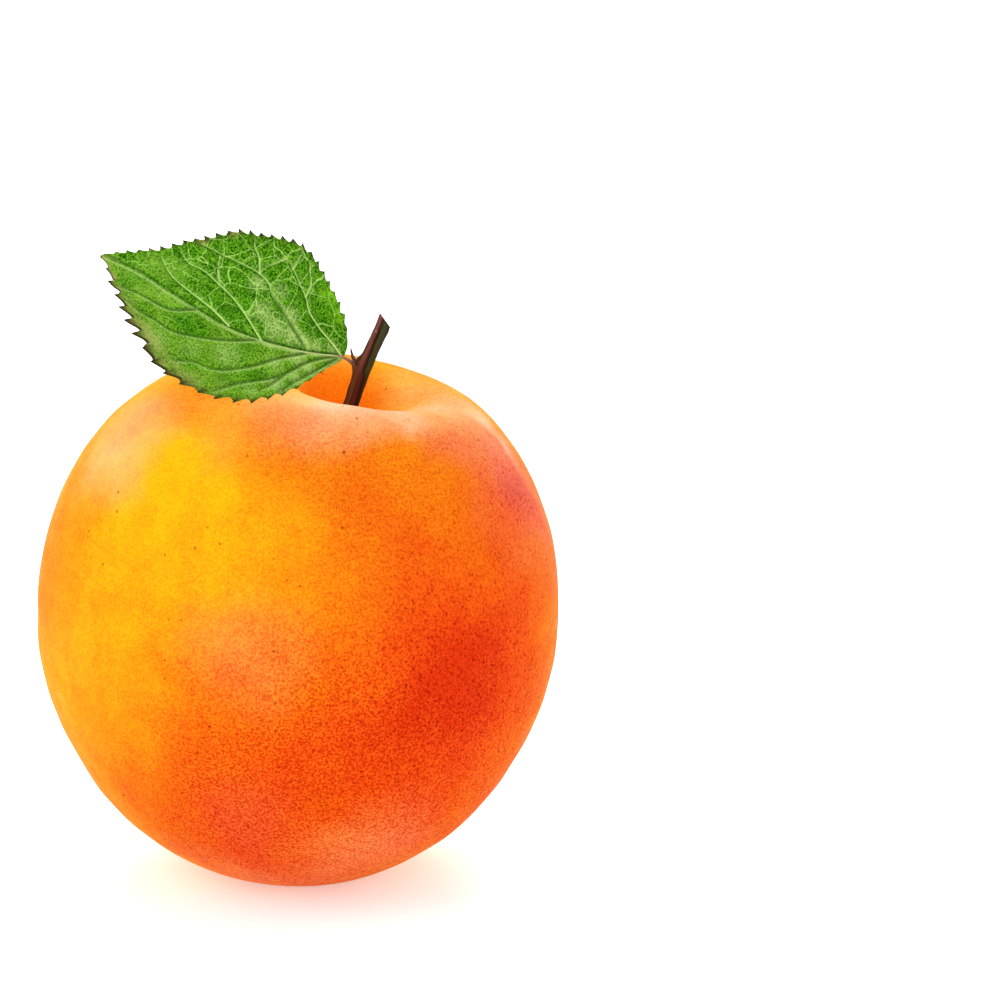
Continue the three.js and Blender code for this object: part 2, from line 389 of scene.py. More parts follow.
def skin_relief(direction, points):
    """How far the grown skin stands out from the plain formula."""
    x, y, z = np.moveaxis(direction, -1, 0)
    lumps = LUMP_HEIGHT * soft_lumps(points, LUMP_SIZE, seed=3)
    lumps = lumps + DIMPLE_HEIGHT * soft_lumps(points, DIMPLE_SIZE, seed=8)
    angle = cavity_angle(x, z)
    around = np.arctan2(y, x - z * math.tan(CAVITY_TILT))
    drawn_in = ease(angle, *PLEAT_TOP) * (1 - ease(angle, *PLEAT_END))
    waver = PLEAT_WAVER * soft_lumps(points, PLEAT_WAVER_SIZE, seed=5)
    pleats = PLEAT_HEIGHT * np.sin(PLEATS * around + waver) * drawn_in
    collar = COLLAR_HEIGHT * bell((angle - COLLAR_ANGLE) / (COLLAR_SPREAD * COLLAR_ANGLE))
    return lumps * ease(points[..., 2], *RELIEF_RISE) + pleats + collar


def fruit_rings():
    """The skin's points from foot to crown, and their angles from the cavity's axis."""
    turn = np.arange(1, FRUIT_RINGS + 1) / (FRUIT_RINGS + 1)
    polar = np.pi * turn - RING_CROWDING / 2 * np.sin(2 * np.pi * turn)
    around = np.arange(FRUIT_SIDES) * 2 * np.pi / FRUIT_SIDES
    polar, around = np.meshgrid(np.concatenate([[0], polar, [np.pi]]), around, indexing="ij")
    x = np.sin(polar) * np.cos(around)
    y = np.sin(polar) * np.sin(around)
    z = -np.cos(polar)
    lean = CAVITY_TILT * (0.5 - 0.5 * np.cos(polar)) ** 2
    leaned_x = x * np.cos(lean) + z * np.sin(lean)
    leaned_z = -x * np.sin(lean) + z * np.cos(lean)
    direction = np.stack([leaned_x, y, leaned_z], axis=-1)
    radius = skin_radius(leaned_x, y, leaned_z)
    points = direction * radius[..., None] + np.array([0, 0, CORE_HEIGHT])
    radius = radius + skin_relief(direction, points)
    points = direction * radius[..., None] + np.array([0, 0, CORE_HEIGHT])
    points[..., 2] = np.maximum(points[..., 2], 0)
    return points, cavity_angle(leaned_x, leaned_z)


rings, angles = fruit_rings()
collar_mark = bell(angles / (COLLAR_MARK_REACH * COLLAR_ANGLE)) ** 2
fruit_marks = {"collar": per_point(collar_mark[1:-1], collar_mark[0, 0], collar_mark[-1, 0])}
fruit = make_piece(
    "apricot_fruit",
    ring_points(rings[0, 0], rings[1:-1], rings[-1, 0]),
    ring_faces(FRUIT_RINGS, FRUIT_SIDES),
    fruit_marks,
)

# %% [markdown]
# ## The twig
# The fruit hangs on a short woody twig, cut off at a slant. Its bark is not a plain tube: it has
# long ridges, a swelling at the node where the leaf stalk joins, and fine wrinkles. The solid
# gives the path and the swellings. Here the same rod gets many sides, and the radius is changed
# by a few hundredths of a millimetre at each point.

# %% Rods along a line
def rings_around(line, shares, angles, radius, first, second):
    """Rings in the plane of two directions. The radius is a table of shares by angles."""
    outward = first[:, None] * np.cos(angles)[None, :, None]
    outward = outward + second[:, None] * np.sin(angles)[None, :, None]
    return line.at(shares)[:, None] + outward * radius[..., None]


def rod_rings(line, shares, angles, radius):
    """Rings that start on the side toward -X, where the leaf is, and turn toward +Y."""
    tangent = line.direction(shares)
    back = np.cross(np.array([-1.0, 0, 0]), tangent)
    back /= np.linalg.norm(back, axis=-1, keepdims=True)
    side = np.cross(tangent, back)
    return rings_around(line, shares, angles, radius, side, back)


upright = SmoothLine([(0, 0, 0), (0, 0, 2)])
print("A ring's first point:", rod_rings(upright, np.array([0.5]), np.zeros(1), np.ones((1, 1)))[0, 0])

# %% Twig
TWIG_PATH = [
    (4.0, -0.35, 46.2),
    (4.9, -0.75, 47.9),
    (5.95, -1.6, 50.7),
    (6.85, -2.55, 53.5),
    (8.5, -3.6, 57.4),
    (8.95, -3.85, 58.5),
]
TWIG_RADIUS = 0.76
TWIG_FOOT_SHARE = 0.86
TWIG_TRIM = 0.05
NODE_PLACE = 0.62
NODE_SPREAD = 0.07
NODE_SWELL = 0.1
RIDGE_SWELL = 0.34
RIDGE_SPREAD = 0.5
RIDGE_END = 0.2
FRONT_EDGE = -1.45
FRONT_EDGE_TWIST = 0.75
FRONT_EDGE_SWELL = 0.1
FRONT_EDGE_SPREAD = 0.4
WRINKLE_HEIGHT = 0.022
WRINKLE_SIZE = 0.55
WRINKLE_STRETCH = 0.25
KNOB_HEIGHT = 0.03
KNOB_SIZE = 1.6
UNROLLED_LENGTH = 14
TWIG_SIDES = 96
TWIG_RINGS = 210


def front_edge_angle(share):
    """Where the front edge stands around the twig, at a share of its length."""
    return FRONT_EDGE + FRONT_EDGE_TWIST * (share - 0.5)


def unroll(share, angle, length):
    """Places for the unevenness of a rod, which join up where its angles meet."""
    return np.stack([share * length, np.cos(angle), np.sin(angle)], axis=-1)


def twig_radius(shares, angles):
    """The bark's distance from the middle of the twig."""
    share, angle = np.meshgrid(shares, angles, indexing="ij")
    node = NODE_SWELL * bell((share - NODE_PLACE) / NODE_SPREAD)
    below = ease(share, RIDGE_END, NODE_PLACE)
    below *= 1 - ease(share, NODE_PLACE, NODE_PLACE + NODE_SPREAD)
    ridge = RIDGE_SWELL * below * bell(angle / RIDGE_SPREAD)
    taper = blend(TWIG_FOOT_SHARE, 1, np.clip(share / RIDGE_END, 0, 1))
    edge = FRONT_EDGE_SWELL * bell((angle - front_edge_angle(share)) / FRONT_EDGE_SPREAD)
    bark = unroll(share, angle, UNROLLED_LENGTH)
    drawn_out = bark * np.array([WRINKLE_STRETCH, 1, 1])
    wrinkles = WRINKLE_HEIGHT * soft_lumps(drawn_out, WRINKLE_SIZE, seed=21)
    knobs = KNOB_HEIGHT * soft_lumps(bark, KNOB_SIZE, seed=22)
    return TWIG_RADIUS * taper * (1 + node + ridge + edge - TWIG_TRIM + wrinkles + knobs)


twig_line = SmoothLine(TWIG_PATH)
twig_shares = np.linspace(0, 1, TWIG_RINGS)
twig_angles = np.arange(TWIG_SIDES) * 2 * np.pi / TWIG_SIDES - np.pi
twig_rings = rod_rings(twig_line, twig_shares, twig_angles, twig_radius(twig_shares, twig_angles))
print("The twig is", round(twig_line.length, 1), "mm long")

# %% [markdown]
# The top of the twig is cut off at a slant. Near it the rings lean over more and more, until the
# last one lies in the plane of the cut: each of its points slides along the twig to that plane.

# %% Slanted cut
CUT_NORMAL = np.array([0.81, 0.17, 0.56]) / np.linalg.norm([0.81, 0.17, 0.56])
LEAN_START = 0.9

tangents = twig_line.direction(twig_shares)[:, None]
end = twig_line.at(1.0)
slide = -((twig_rings - end) @ CUT_NORMAL) / (tangents @ CUT_NORMAL)
level = (((twig_line.at(twig_shares) - end) @ CUT_NORMAL)[:, None]) / (tangents @ CUT_NORMAL)
lean = (slide + level) * ease(twig_shares, LEAN_START, 1)[:, None]
twig_rings = twig_rings + tangents * lean[..., None]
print("The cut ring leaves its plane by", round(float(abs((twig_rings[-1] - end) @ CUT_NORMAL).max()), 4))

# %% [markdown]
# Two things are added at the ends. Below, a short root carries the rod down through the collar,
# so that no gap shows between wood and skin. Above, rings that shrink to the middle close the
# cut, a little hollow. Three marks tell the finish how far along the twig a point lies, how far
# around from the front edge, and where bark ends and bare wood starts.

# %% Twig ends
TWIG_ROOT = 1.2
ROOT_WIDENING = 1.1
CUT_RINGS = (0.97, 0.9, 0.75, 0.5, 0.25)
CUT_HOLLOW = 0.06
BARE_WOOD_START = 0.2

root_step = -twig_line.direction(0.0) * TWIG_ROOT
root_ring = twig_line.at(0.0) + root_step + (twig_rings[0] - twig_line.at(0.0)) * ROOT_WIDENING
cut_rings = []
for share in CUT_RINGS:
    dent = CUT_HOLLOW * (1 - share ** 4)
    cut_rings.append(end + (twig_rings[-1] - end) * share - CUT_NORMAL * dent)
all_rings = np.concatenate([root_ring[None], twig_rings, np.array(cut_rings)])
ring_count = len(all_rings)
cut_run = np.full(len(CUT_RINGS), twig_line.length)
run = np.concatenate([[-TWIG_ROOT], twig_shares * twig_line.length, cut_run])
bare_wood = np.zeros(ring_count)
bare_wood[-len(CUT_RINGS):] = 1 - np.array(CUT_RINGS) + BARE_WOOD_START
from_edge = twig_angles[None, :] - front_edge_angle(run / twig_line.length)[:, None]
twig_marks = {
    "bark_length": per_point(np.repeat(run, TWIG_SIDES), -TWIG_ROOT, twig_line.length),
    "bark_turn": per_point(np.sin(from_edge), 0, 0),
    "bare_wood": per_point(np.repeat(bare_wood, TWIG_SIDES), 0, 1 + BARE_WOOD_START),
}
twig = make_piece(
    "apricot_twig",
    ring_points(root_ring.mean(axis=0), all_rings, end - CUT_NORMAL * CUT_HOLLOW),
    ring_faces(ring_count, TWIG_SIDES),
    twig_marks,
)

# %% [markdown]
# ## The leaf's own sheet of paper
# An apricot leaf is broad, with one strong middle vein and saw teeth along both margins. It is
# easiest to draw flat, as if pressed on paper: millimetres along the leaf from its foot, and
# millimetres across it. One function then lifts any place on the paper to where the real leaf
# is, bowed along its length and folded along the middle vein. Veins, teeth and finish all use
# the same flat places, so they always agree.

# %% Leaf measures
LEAF_FOOT = np.array([4.75, -3.4, 54.7])
LEAF_TIP = np.array([-19.07, -1.0, 64.39])
LEAF_SLOPE = math.radians(46)
LEAF_FOLD = math.radians(12)
LEAF_FOLD_ROUNDING = 0.8
LEAF_BOW = 3.0
LEAF_THICKNESS = 0.3
MIDRIB_LINE = [(0, 0), (3.5, -1.9), (8, -3.4), (12, -3.7), (17.5, -2.45), (22, -0.9), (25.8, 0)]
UPPER_MARGIN = [
    (-0.1, 0.5),
    (0.05, 1.4),
    (1.1, 3.05),
    (3.2, 4.6),
    (6.9, 6.9),
    (10.9, 6.6),
    (15.7, 4.8),
    (20.2, 2.0),
    (24.1, 0.5),
    (25.8, 0.07),
]
LOWER_MARGIN = [
    (0, -0.4),
    (1.2, -2.9),
    (3.3, -7.3),
    (6.8, -11.4),
    (11.5, -12.9),
    (15.8, -12.2),
    (18.9, -9.4),
    (22.3, -5.2),
    (25.8, -0.07),
]

leaf_length = np.linalg.norm(LEAF_TIP - LEAF_FOOT)
leaf_along = (LEAF_TIP - LEAF_FOOT) / leaf_length
leaf_across = np.array([0, math.cos(LEAF_SLOPE), math.sin(LEAF_SLOPE)])
leaf_across -= leaf_across @ leaf_along * leaf_along
leaf_across /= np.linalg.norm(leaf_across)
leaf_up = np.cross(leaf_across, leaf_along)
midrib_line = SmoothLine(MIDRIB_LINE)
upper_margin = SmoothLine(UPPER_MARGIN)
lower_margin = SmoothLine(LOWER_MARGIN)


def midrib_across(along):
    """How far across the leaf the middle vein lies, at a distance along it."""
    return np.interp(along, midrib_line.path[:, 0], midrib_line.path[:, 1])


def leaf_point(along, across, lift):
    """The place in the round of a place on the flat leaf."""
    off = across - midrib_across(along)
    fold = math.tan(LEAF_FOLD) * (np.hypot(off, LEAF_FOLD_ROUNDING) - LEAF_FOLD_ROUNDING)
    bow = LEAF_BOW * np.sin(np.pi * np.clip(along / leaf_length, 0, 1))
    height = np.asarray(fold + bow + lift)[..., None]
    flat = np.asarray(along)[..., None] * leaf_along + np.asarray(across)[..., None] * leaf_across
    return LEAF_FOOT + flat + height * leaf_up


print("The leaf is", round(leaf_length, 1), "mm long")

# %% [markdown]
# ## Veins
# The side veins leave the middle vein at a low angle and sweep toward the tip. Near the margin
# some of them fork and join their neighbours in loops. Each is a line of a few points on the
# flat leaf. On this leaf most veins of the lower half lie sunk in a groove, with one wall in the
# dark and the other in the light, and most veins of the upper half are thin, flat and pale. The
# number before each line is the share of its length, from its start, that is sunk.

# %% Vein lines
UPPER_VEINS = [
    (0, [(0.2, 0.0), (1.5, 0.5), (3.2, 1.0), (4.7, 1.8), (5.6, 2.9), (6.5, 3.6), (7.8, 4.6),
         (8.8, 5.2)]),
    (0, [(5.6, 2.9), (5.6, 4.2), (6.3, 5.5), (6.6, 6.1)]),
    (0, [(7.8, 4.6), (7.7, 5.4), (7.6, 6.2)]),
    (0, [(8.8, 5.2), (9.5, 4.4), (10.3, 3.4), (10.6, 2.6)]),
    (0.42, [(3.3, -1.8), (4.1, -1.3), (6.6, 0.1), (8.6, 1.2), (9.3, 2.0), (10.6, 2.6),
            (12.7, 2.8), (14.4, 2.9), (17.0, 3.4)]),
    (0, [(10.6, 2.6), (11.3, 4.1), (12.1, 4.9), (12.3, 5.6)]),
    (0, [(7.9, -3.3), (9.7, -2.1), (11.9, -0.8), (13.8, 0.0), (15.8, 0.8), (17.4, 1.1),
         (18.6, 2.0)]),
    (0, [(13.8, 0.0), (14.4, 1.2), (14.9, 2.7)]),
    (0, [(11.3, -3.5), (13.4, -2.6), (15.7, -1.8), (18.1, -0.8), (18.9, -0.2), (20.0, 0.9)]),
]
LOWER_VEINS = [
    (1, [(0.4, -0.3), (1.7, -1.5), (3.1, -3.2), (4.2, -5.2), (5.4, -6.9), (6.7, -8.2),
         (8.7, -10.1), (9.9, -11.8)]),
    (1, [(0.5, -0.7), (1.0, -1.7), (1.9, -3.4), (2.8, -5.1), (3.5, -6.4), (4.2, -8.0)]),
    (0.8, [(4.4, -5.5), (4.7, -6.3), (5.3, -7.8), (5.9, -9.2)]),
    (1, [(3.4, -2.0), (5.8, -4.5), (7.3, -6.4), (8.6, -7.7), (10.2, -9.0), (11.5, -9.5),
         (13.0, -9.5), (14.8, -10.4)]),
    (1, [(8.2, -3.5), (11.0, -5.3), (13.4, -6.3), (16.1, -6.9), (18.2, -6.3), (20.1, -5.8),
         (21.1, -5.3)]),
    (1, [(15.0, -3.3), (17.3, -4.4), (19.6, -4.0), (21.5, -3.6), (23.0, -3.5)]),
]
SIDE_VEIN_WIDTH = 0.082
MIDRIB_WIDTH = 0.2
side_veins = [(sunken, SmoothLine(points)) for sunken, points in UPPER_VEINS + LOWER_VEINS]


def vein_distance(places, line, steps=36):
    """Distance from each flat place to a vein, the share of the vein there, and which side."""
    knots = line.at(np.linspace(0, 1, steps + 1))
    nearest = np.full(len(places), np.inf)
    share = np.zeros(len(places))
    foot = np.zeros_like(places)
    for step in range(steps):
        start = knots[step]
        run = knots[step + 1] - start
        part = np.clip((places - start) @ run / (run @ run), 0, 1)
        here = start + part[:, None] * run
        gap = np.linalg.norm(places - here, axis=1)
        closer = gap < nearest
        nearest[closer] = gap[closer]
        share[closer] = (step + part[closer]) / steps
        foot[closer] = here[closer]
    place_off = np.abs(places[:, 1] - midrib_across(places[:, 0]))
    foot_off = np.abs(foot[:, 1] - midrib_across(foot[:, 0]))
    return nearest, share, np.where(place_off < foot_off, 1, -1)


print("Side veins:", len(side_veins))

# %% [markdown]
# ## Saw teeth
# The teeth point toward the tip of the leaf. Each has a long slope, a sharp corner and a short
# drop, and no two are quite alike. The upper margin has many small teeth, the lower one fewer
# that are bigger and more hooked, and grow along the first part of the margin. The mesh has the
# rows that either margin needs, so that one row runs exactly through every corner. That keeps
# the corners sharp without a finer mesh everywhere.

# %% Rows of the blade
UPPER_TEETH = 27
LOWER_TEETH = 20
TEETH_START = 0.05
TOOTH_PEAK = 0.7
PLAIN_ROWS = 12
SLOPE_ROWS = 5
DROP_ROWS = 3


def tooth_shares(teeth):
    """Shares of a margin's length where its teeth need a row of the mesh."""
    slope = np.linspace(0, TOOTH_PEAK, SLOPE_ROWS, endpoint=False)
    drop = np.linspace(TOOTH_PEAK, 1, DROP_ROWS, endpoint=False)
    places = np.concatenate([slope, drop])
    run = np.arange(teeth)[:, None] + places
    return TEETH_START + run.ravel() * (1 - TEETH_START) / teeth


plain_rows = np.linspace(0, TEETH_START, PLAIN_ROWS, endpoint=False)
leaf_rows = np.concatenate([plain_rows, tooth_shares(UPPER_TEETH), tooth_shares(LOWER_TEETH), [1.0]])
leaf_rows = np.unique(leaf_rows.round(6))
print("The leaf has", len(leaf_rows), "rows")

# %% Teeth
TOOTH_SET_BACK = 0.6
TOOTH_VARIATION = (-0.5, 0.3)
FIRST_TOOTH_SHARE = 0.4
SLOPE_POWER = 2
DROP_POWER = 1.5
HOOK_POWER = 2
ROUNDING = 1e-4


def tooth_steps(shares, teeth, seed, height, hook, grown):
    """How far each row's margin point moves outward and toward the tip, and its rise."""
    run = (shares - TEETH_START) / (1 - TEETH_START) * teeth
    tooth = np.clip(np.floor(run + ROUNDING), 0, teeth - 1).astype(int)
    place = np.clip(run - tooth, 0, 1)
    toothless = (run < -ROUNDING) | (shares == 1)
    own = 1 + np.random.default_rng(seed).uniform(*TOOTH_VARIATION, teeth + 1)
    own *= blend(FIRST_TOOTH_SHARE, 1, ease(np.arange(teeth + 1) / teeth, 0, grown))
    near_the_ends = np.minimum(1, np.minimum((tooth + 3) / 5, (teeth - tooth) / 3))
    size = height * near_the_ends * own[tooth]
    slope = np.clip(place / TOOTH_PEAK, 0, 1) ** SLOPE_POWER
    drop = np.clip((1 - place) / (1 - TOOTH_PEAK), 0, 1) ** DROP_POWER
    rise = np.where(toothless, 0, np.where(place < TOOTH_PEAK, slope, drop))
    outward = np.where(toothless, 0, size * (rise - TOOTH_SET_BACK))
    return outward, hook * size * rise ** HOOK_POWER, rise


def toothed_margin(margin, outward_sign, teeth, seed, height, hook, grown):
    """Points along a margin with its teeth, and how far each lies up its tooth."""
    outward, forward, rise = tooth_steps(leaf_rows, teeth, seed, height, hook, grown)
    direction = margin.direction(leaf_rows)
    outside = np.stack([-direction[:, 1], direction[:, 0]], axis=1) * outward_sign
    points = margin.at(leaf_rows) + outside * outward[:, None] + direction * forward[:, None]
    return points, rise


upper_edge, upper_rise = toothed_margin(
    upper_margin, 1, UPPER_TEETH, seed=4, height=0.4, hook=0.35, grown=0.01
)
lower_edge, lower_rise = toothed_margin(
    lower_margin, -1, LOWER_TEETH, seed=9, height=0.72, hook=0.6, grown=0.6
)
print("Teeth:", UPPER_TEETH, "on the upper margin,", LOWER_TEETH, "on the lower one")

# %% [markdown]
# ## Relief of the blade
# Between its veins the blade swells upward, so every vein on the upper face lies in a groove,
# and on the under face it stands out as a ridge. The lower half of this leaf is puckered more
# than the upper half. Relief this fine hardly shows in such soft light, so the walls of the
# grooves are marked too, and the finish paints shade on one and light on the other. Beside a side
# vein the painted shade lies on the wall toward the middle vein. Beside the middle vein it lies
# on the wall toward the upper half.

# %% Vein marks
PUCKER_LOWER = 0.8
PUCKER_UPPER = 0.55
PUCKER_WIDTH = 0.9
GROOVE_DEPTH = 0.08
GROOVE_WIDTH = 0.25
MIDDLE_BLEND = 0.6
MIDRIB_THINNING = 0.7
VEIN_FADING = 0.4
VEIN_THINNING = 0.5
VEIN_END_GAP = 0.25
SUNKEN_BLEND = 0.12
SUNKEN_VEIN_LOSS = 0.85
# where the bands of painted shade (dark) and painted light (lit) lie beside each vein, how wide and how
# strong
MIDRIB_DARK_FOOT = {"place": 0.18, "width": 0.13, "strength": 0.95}
MIDRIB_DARK_TIP = {"place": 0.18, "width": 0.13, "strength": 0.55}
MIDRIB_LIT_WALL = {"place": -0.3, "width": 0.25, "strength": 0.75}
FLAT_DARK_WALL = {"place": 0.17, "width": 0.15, "strength": 0.7}
FLAT_LIT_WALL = {"place": -0.17, "width": 0.15, "strength": 0.15}
SUNKEN_DARK_WALL = {"place": 0.04, "width": 0.16, "strength": 1}
SUNKEN_LIT_WALL = {"place": -0.25, "width": 0.17, "strength": 0.8}


def wall_mark(across, first, second, share):
    """A soft band of painted shade or light beside a vein: the first kind at share 0, the second at 1."""
    wall = {measure: blend(first[measure], second[measure], share) for measure in first}
    return bell((across - wall["place"]) / wall["width"]) * wall["strength"]


def blade_marks(places):
    """Vein colour, grooves, swelling and bands of painted shade and light for flat places, by vein
    distance.
    """
    off = places[:, 1] - midrib_across(places[:, 0])
    on_upper = ease(off, -MIDDLE_BLEND, MIDDLE_BLEND)
    middle, share, _ = vein_distance(places, midrib_line)
    midrib = bell(middle / (MIDRIB_WIDTH * (1 - MIDRIB_THINNING * share)))
    painted_shade_band = wall_mark(off, MIDRIB_DARK_FOOT, MIDRIB_DARK_TIP, share)
    painted_light_band = wall_mark(off, MIDRIB_LIT_WALL, MIDRIB_LIT_WALL, share)
    vein = np.zeros(len(places))
    nearest = middle
    for sunken, line in side_veins:
        gap, share, inner_side = vein_distance(places, line)
        deep = ease(share, sunken + SUNKEN_BLEND, sunken - SUNKEN_BLEND) if sunken else 0 * share
        strength = 1 - VEIN_FADING * share
        width = SIDE_VEIN_WIDTH * (1 - VEIN_THINNING * share)
        vein = np.maximum(vein, bell(gap / width) * strength * (1 - SUNKEN_VEIN_LOSS * deep))
        nearest = np.minimum(nearest, gap + VEIN_END_GAP * share)
        inward = gap * inner_side
        dark = wall_mark(inward, FLAT_DARK_WALL, SUNKEN_DARK_WALL, deep)
        painted_shade_band = np.maximum(painted_shade_band, dark * strength)
        light = wall_mark(inward, FLAT_LIT_WALL, SUNKEN_LIT_WALL, deep)
        painted_light_band = np.maximum(painted_light_band, light * strength)
    swelling = blend(PUCKER_LOWER, PUCKER_UPPER, on_upper) * (1 - np.exp(-nearest / PUCKER_WIDTH))
    groove = GROOVE_DEPTH * bell(nearest / GROOVE_WIDTH)
    return vein, midrib, swelling - groove, painted_shade_band, painted_light_band


sample_marks = blade_marks(np.array([[10.0, -8.9], [10.0, -7.5]]))
print("Groove depth between a vein and the field beside it:", np.ptp(sample_marks[2]).round(2), "mm")

# %% [markdown]
# A slow ripple near the margins keeps the edge from looking cut from card. Each row of the mesh
# runs from the middle vein out to the two margins, and it meets them further along than it
# starts, much as the side veins do. The columns are closer together near the middle vein.

# %% Faces of the blade
VEIN_SWEEP = 1.9
TOP_COLUMNS = 195
UNDER_COLUMNS = 51
COLUMN_CROWDING = 1.25
RIPPLE_HEIGHT = 0.16
RIPPLE_SIZE = 5.5
FOOT_LENGTH = 1.5
EDGE_THICKNESS = 0.14
UNDER_RIDGE = 0.16
UNDER_MIDRIB = 1.5
TOOTH_BAND = ((0.86, 0.97), (0.90, 0.99))
RIM_BAND = ((0.95, 0.98), (0.97, 1.0))
DRIED_BAND = (0.72, 0.97)
DRIED_RUN = (9, 15)
DRIED_TIP_RUN = (23.6, 25.8)
DRIED_TIP_SHARE = 0.6


def blade_grid(columns):
    """Flat places for every row and column, with their share of the way out to the margin."""
    column = np.linspace(-1, 1, columns)
    out = np.abs(column) ** COLUMN_CROWDING
    start = leaf_length * leaf_rows ** VEIN_SWEEP
    middle = np.stack([start, midrib_across(start)], axis=1)
    edge = np.where((column > 0)[None, :, None], upper_edge[:, None], lower_edge[:, None])
    rise = np.where((column > 0)[None, :], upper_rise[:, None], lower_rise[:, None])
    places = blend(middle[:, None], edge, out[None, :, None])
    return places.reshape(-1, 2), np.broadcast_to(out, rise.shape).ravel(), rise.ravel()


def margin_band(out, on_upper, bands):
    """0 before a band near the margin and 1 after it. Each half of the leaf has its own band."""
    lower, upper = bands
    return ease(out, blend(lower[0], upper[0], on_upper), blend(lower[1], upper[1], on_upper))


def blade_face(columns, under):
    """Points and marks of the upper or the under face of the blade."""
    flat, out, rise = blade_grid(columns)
    vein, midrib, relief, painted_shade_band, painted_light_band = blade_marks(flat)
    ripple = RIPPLE_HEIGHT * soft_lumps(flat, RIPPLE_SIZE, seed=31) * out ** 2
    lift = (relief + ripple) * ease(flat[:, 0], 0, FOOT_LENGTH)
    if under:
        thickness = blend(LEAF_THICKNESS, EDGE_THICKNESS, out ** 3)
        lift = lift - thickness - UNDER_RIDGE * np.maximum(vein, UNDER_MIDRIB * midrib)
    points = leaf_point(flat[:, 0], flat[:, 1], lift)
    off = flat[:, 1] - midrib_across(flat[:, 0])
    dried = ease(out, *DRIED_BAND) * ease(flat[:, 0], *DRIED_RUN) * (off < 0)
    marks = {
        "leaf_place": np.stack([flat[:, 0], flat[:, 1], off], axis=1),
        "vein": vein,
        "painted_groove_shade": painted_shade_band,
        "painted_light_band": painted_light_band,
        "rim": margin_band(out, off > 0, RIM_BAND),
        "dried_band": dried + DRIED_TIP_SHARE * ease(flat[:, 0], *DRIED_TIP_RUN),
        "tooth_tip": rise * margin_band(out, off > 0, TOOTH_BAND),
        "under_face": np.full(len(flat), float(under)),
    }
    return points, marks


top_points, top_marks = blade_face(TOP_COLUMNS, False)
under_points, under_marks = blade_face(UNDER_COLUMNS, True)
print("Points of the upper and the under face:", len(top_points), len(under_points))

# %% [markdown]
# The two faces have different numbers of columns, since only the upper face needs the finest
# detail. They share their rows, so a strip of faces along each margin joins them, and one
# many-sided face closes the foot and the tip.

# %% Leaf mesh
def grid_faces(rows, columns, start):
    faces = []
    for row in range(rows - 1):
        first = start + row * columns
        for column in range(columns - 1):
            corner = first + column
            faces.append((corner, corner + 1, corner + columns + 1, corner + columns))
    return faces


row_count = len(leaf_rows)
under_start = row_count * TOP_COLUMNS
leaf_faces = grid_faces(row_count, TOP_COLUMNS, 0)
leaf_faces += [face[::-1] for face in grid_faces(row_count, UNDER_COLUMNS, under_start)]
for row in range(row_count - 1):
    top = row * TOP_COLUMNS
    under = under_start + row * UNDER_COLUMNS
    leaf_faces.append((top, top + TOP_COLUMNS, under + UNDER_COLUMNS, under))
    top += TOP_COLUMNS - 1
    under += UNDER_COLUMNS - 1
    leaf_faces.append((top + TOP_COLUMNS, top, under, under + UNDER_COLUMNS))
for row in (0, row_count - 1):
    top = [row * TOP_COLUMNS + column for column in range(TOP_COLUMNS)]
    under = [under_start + row * UNDER_COLUMNS + column for column in range(UNDER_COLUMNS)]
    end_face = tuple(top[::-1] + under)
    leaf_faces.append(end_face if row else end_face[::-1])
leaf = make_piece(
    "apricot_leaf",
    np.concatenate([top_points, under_points]),
    leaf_faces,
    {mark: np.concatenate([top_marks[mark], under_marks[mark]]) for mark in top_marks},
)

# %% [markdown]
# ## Leaf stalk and middle vein
# The stalk grows out of the node on the twig and goes on as the middle vein, half sunk in the
# blade and standing out on both faces. One rod that gets thinner all the way makes both, so there
# is no joint where the stalk meets the blade. At the twig it widens into the node.

# %% Stalk
STALK_PATH = [(6.05, -2.35, 52.9), (5.92, -2.8, 53.5), (5.58, -3.15, 54.02), (5.15, -3.3, 54.38)]
STALK_RADIUS = 0.17
STALK_END_RADIUS = 0.03
STALK_THINNING = 1.6
STALK_LUMP_HEIGHT = 0.012
STALK_LUMP_SIZE = 1.3
STALK_UNROLLED_LENGTH = 28
STALK_SIDES = 28
STALK_RINGS = 260
NODE_FLARE = 0.26
FLARE_LENGTH = 1.1
MIDRIB_END = 24.5
MIDRIB_POINTS = 40
MIDRIB_LIFT = -0.12

midrib_runs = np.linspace(0, MIDRIB_END, MIDRIB_POINTS)
on_blade = leaf_point(midrib_runs, midrib_across(midrib_runs), MIDRIB_LIFT)
stalk_line = SmoothLine(np.vstack([STALK_PATH, on_blade]))
stalk_shares = np.linspace(0, 1, STALK_RINGS)
stalk_angles = np.arange(STALK_SIDES) * 2 * np.pi / STALK_SIDES


def stalk_radius(shares, angles):
    """The stalk's radius: thinner toward the tip, and wider at the node."""
    share, angle = np.meshgrid(shares, angles, indexing="ij")
    thinning = (STALK_RADIUS - STALK_END_RADIUS) * (1 - share) ** STALK_THINNING
    flare = NODE_FLARE * bell(share * stalk_line.length / FLARE_LENGTH)
    stem = unroll(share, angle, STALK_UNROLLED_LENGTH)
    lumps = STALK_LUMP_HEIGHT * soft_lumps(stem, STALK_LUMP_SIZE, seed=41)
    return STALK_END_RADIUS + thinning + flare + lumps


stalk_tangent = stalk_line.direction(stalk_shares)
level_side = np.cross(stalk_tangent, leaf_up)
level_side /= np.linalg.norm(level_side, axis=-1, keepdims=True)
stalk_rings = rings_around(
    stalk_line,
    stalk_shares,
    stalk_angles,
    stalk_radius(stalk_shares, stalk_angles),
    level_side,
    np.cross(level_side, stalk_tangent),
)
stalk_run = stalk_shares * stalk_line.length
stalk = make_piece(
    "leaf_stalk",
    ring_points(stalk_line.at(0.0), stalk_rings, stalk_line.at(1.0)),
    ring_faces(STALK_RINGS, STALK_SIDES),
    {"stalk_run": per_point(np.repeat(stalk_run, STALK_SIDES), 0, stalk_line.length)},
)
print("Stalk and middle vein are", round(stalk_line.length, 1), "mm long")

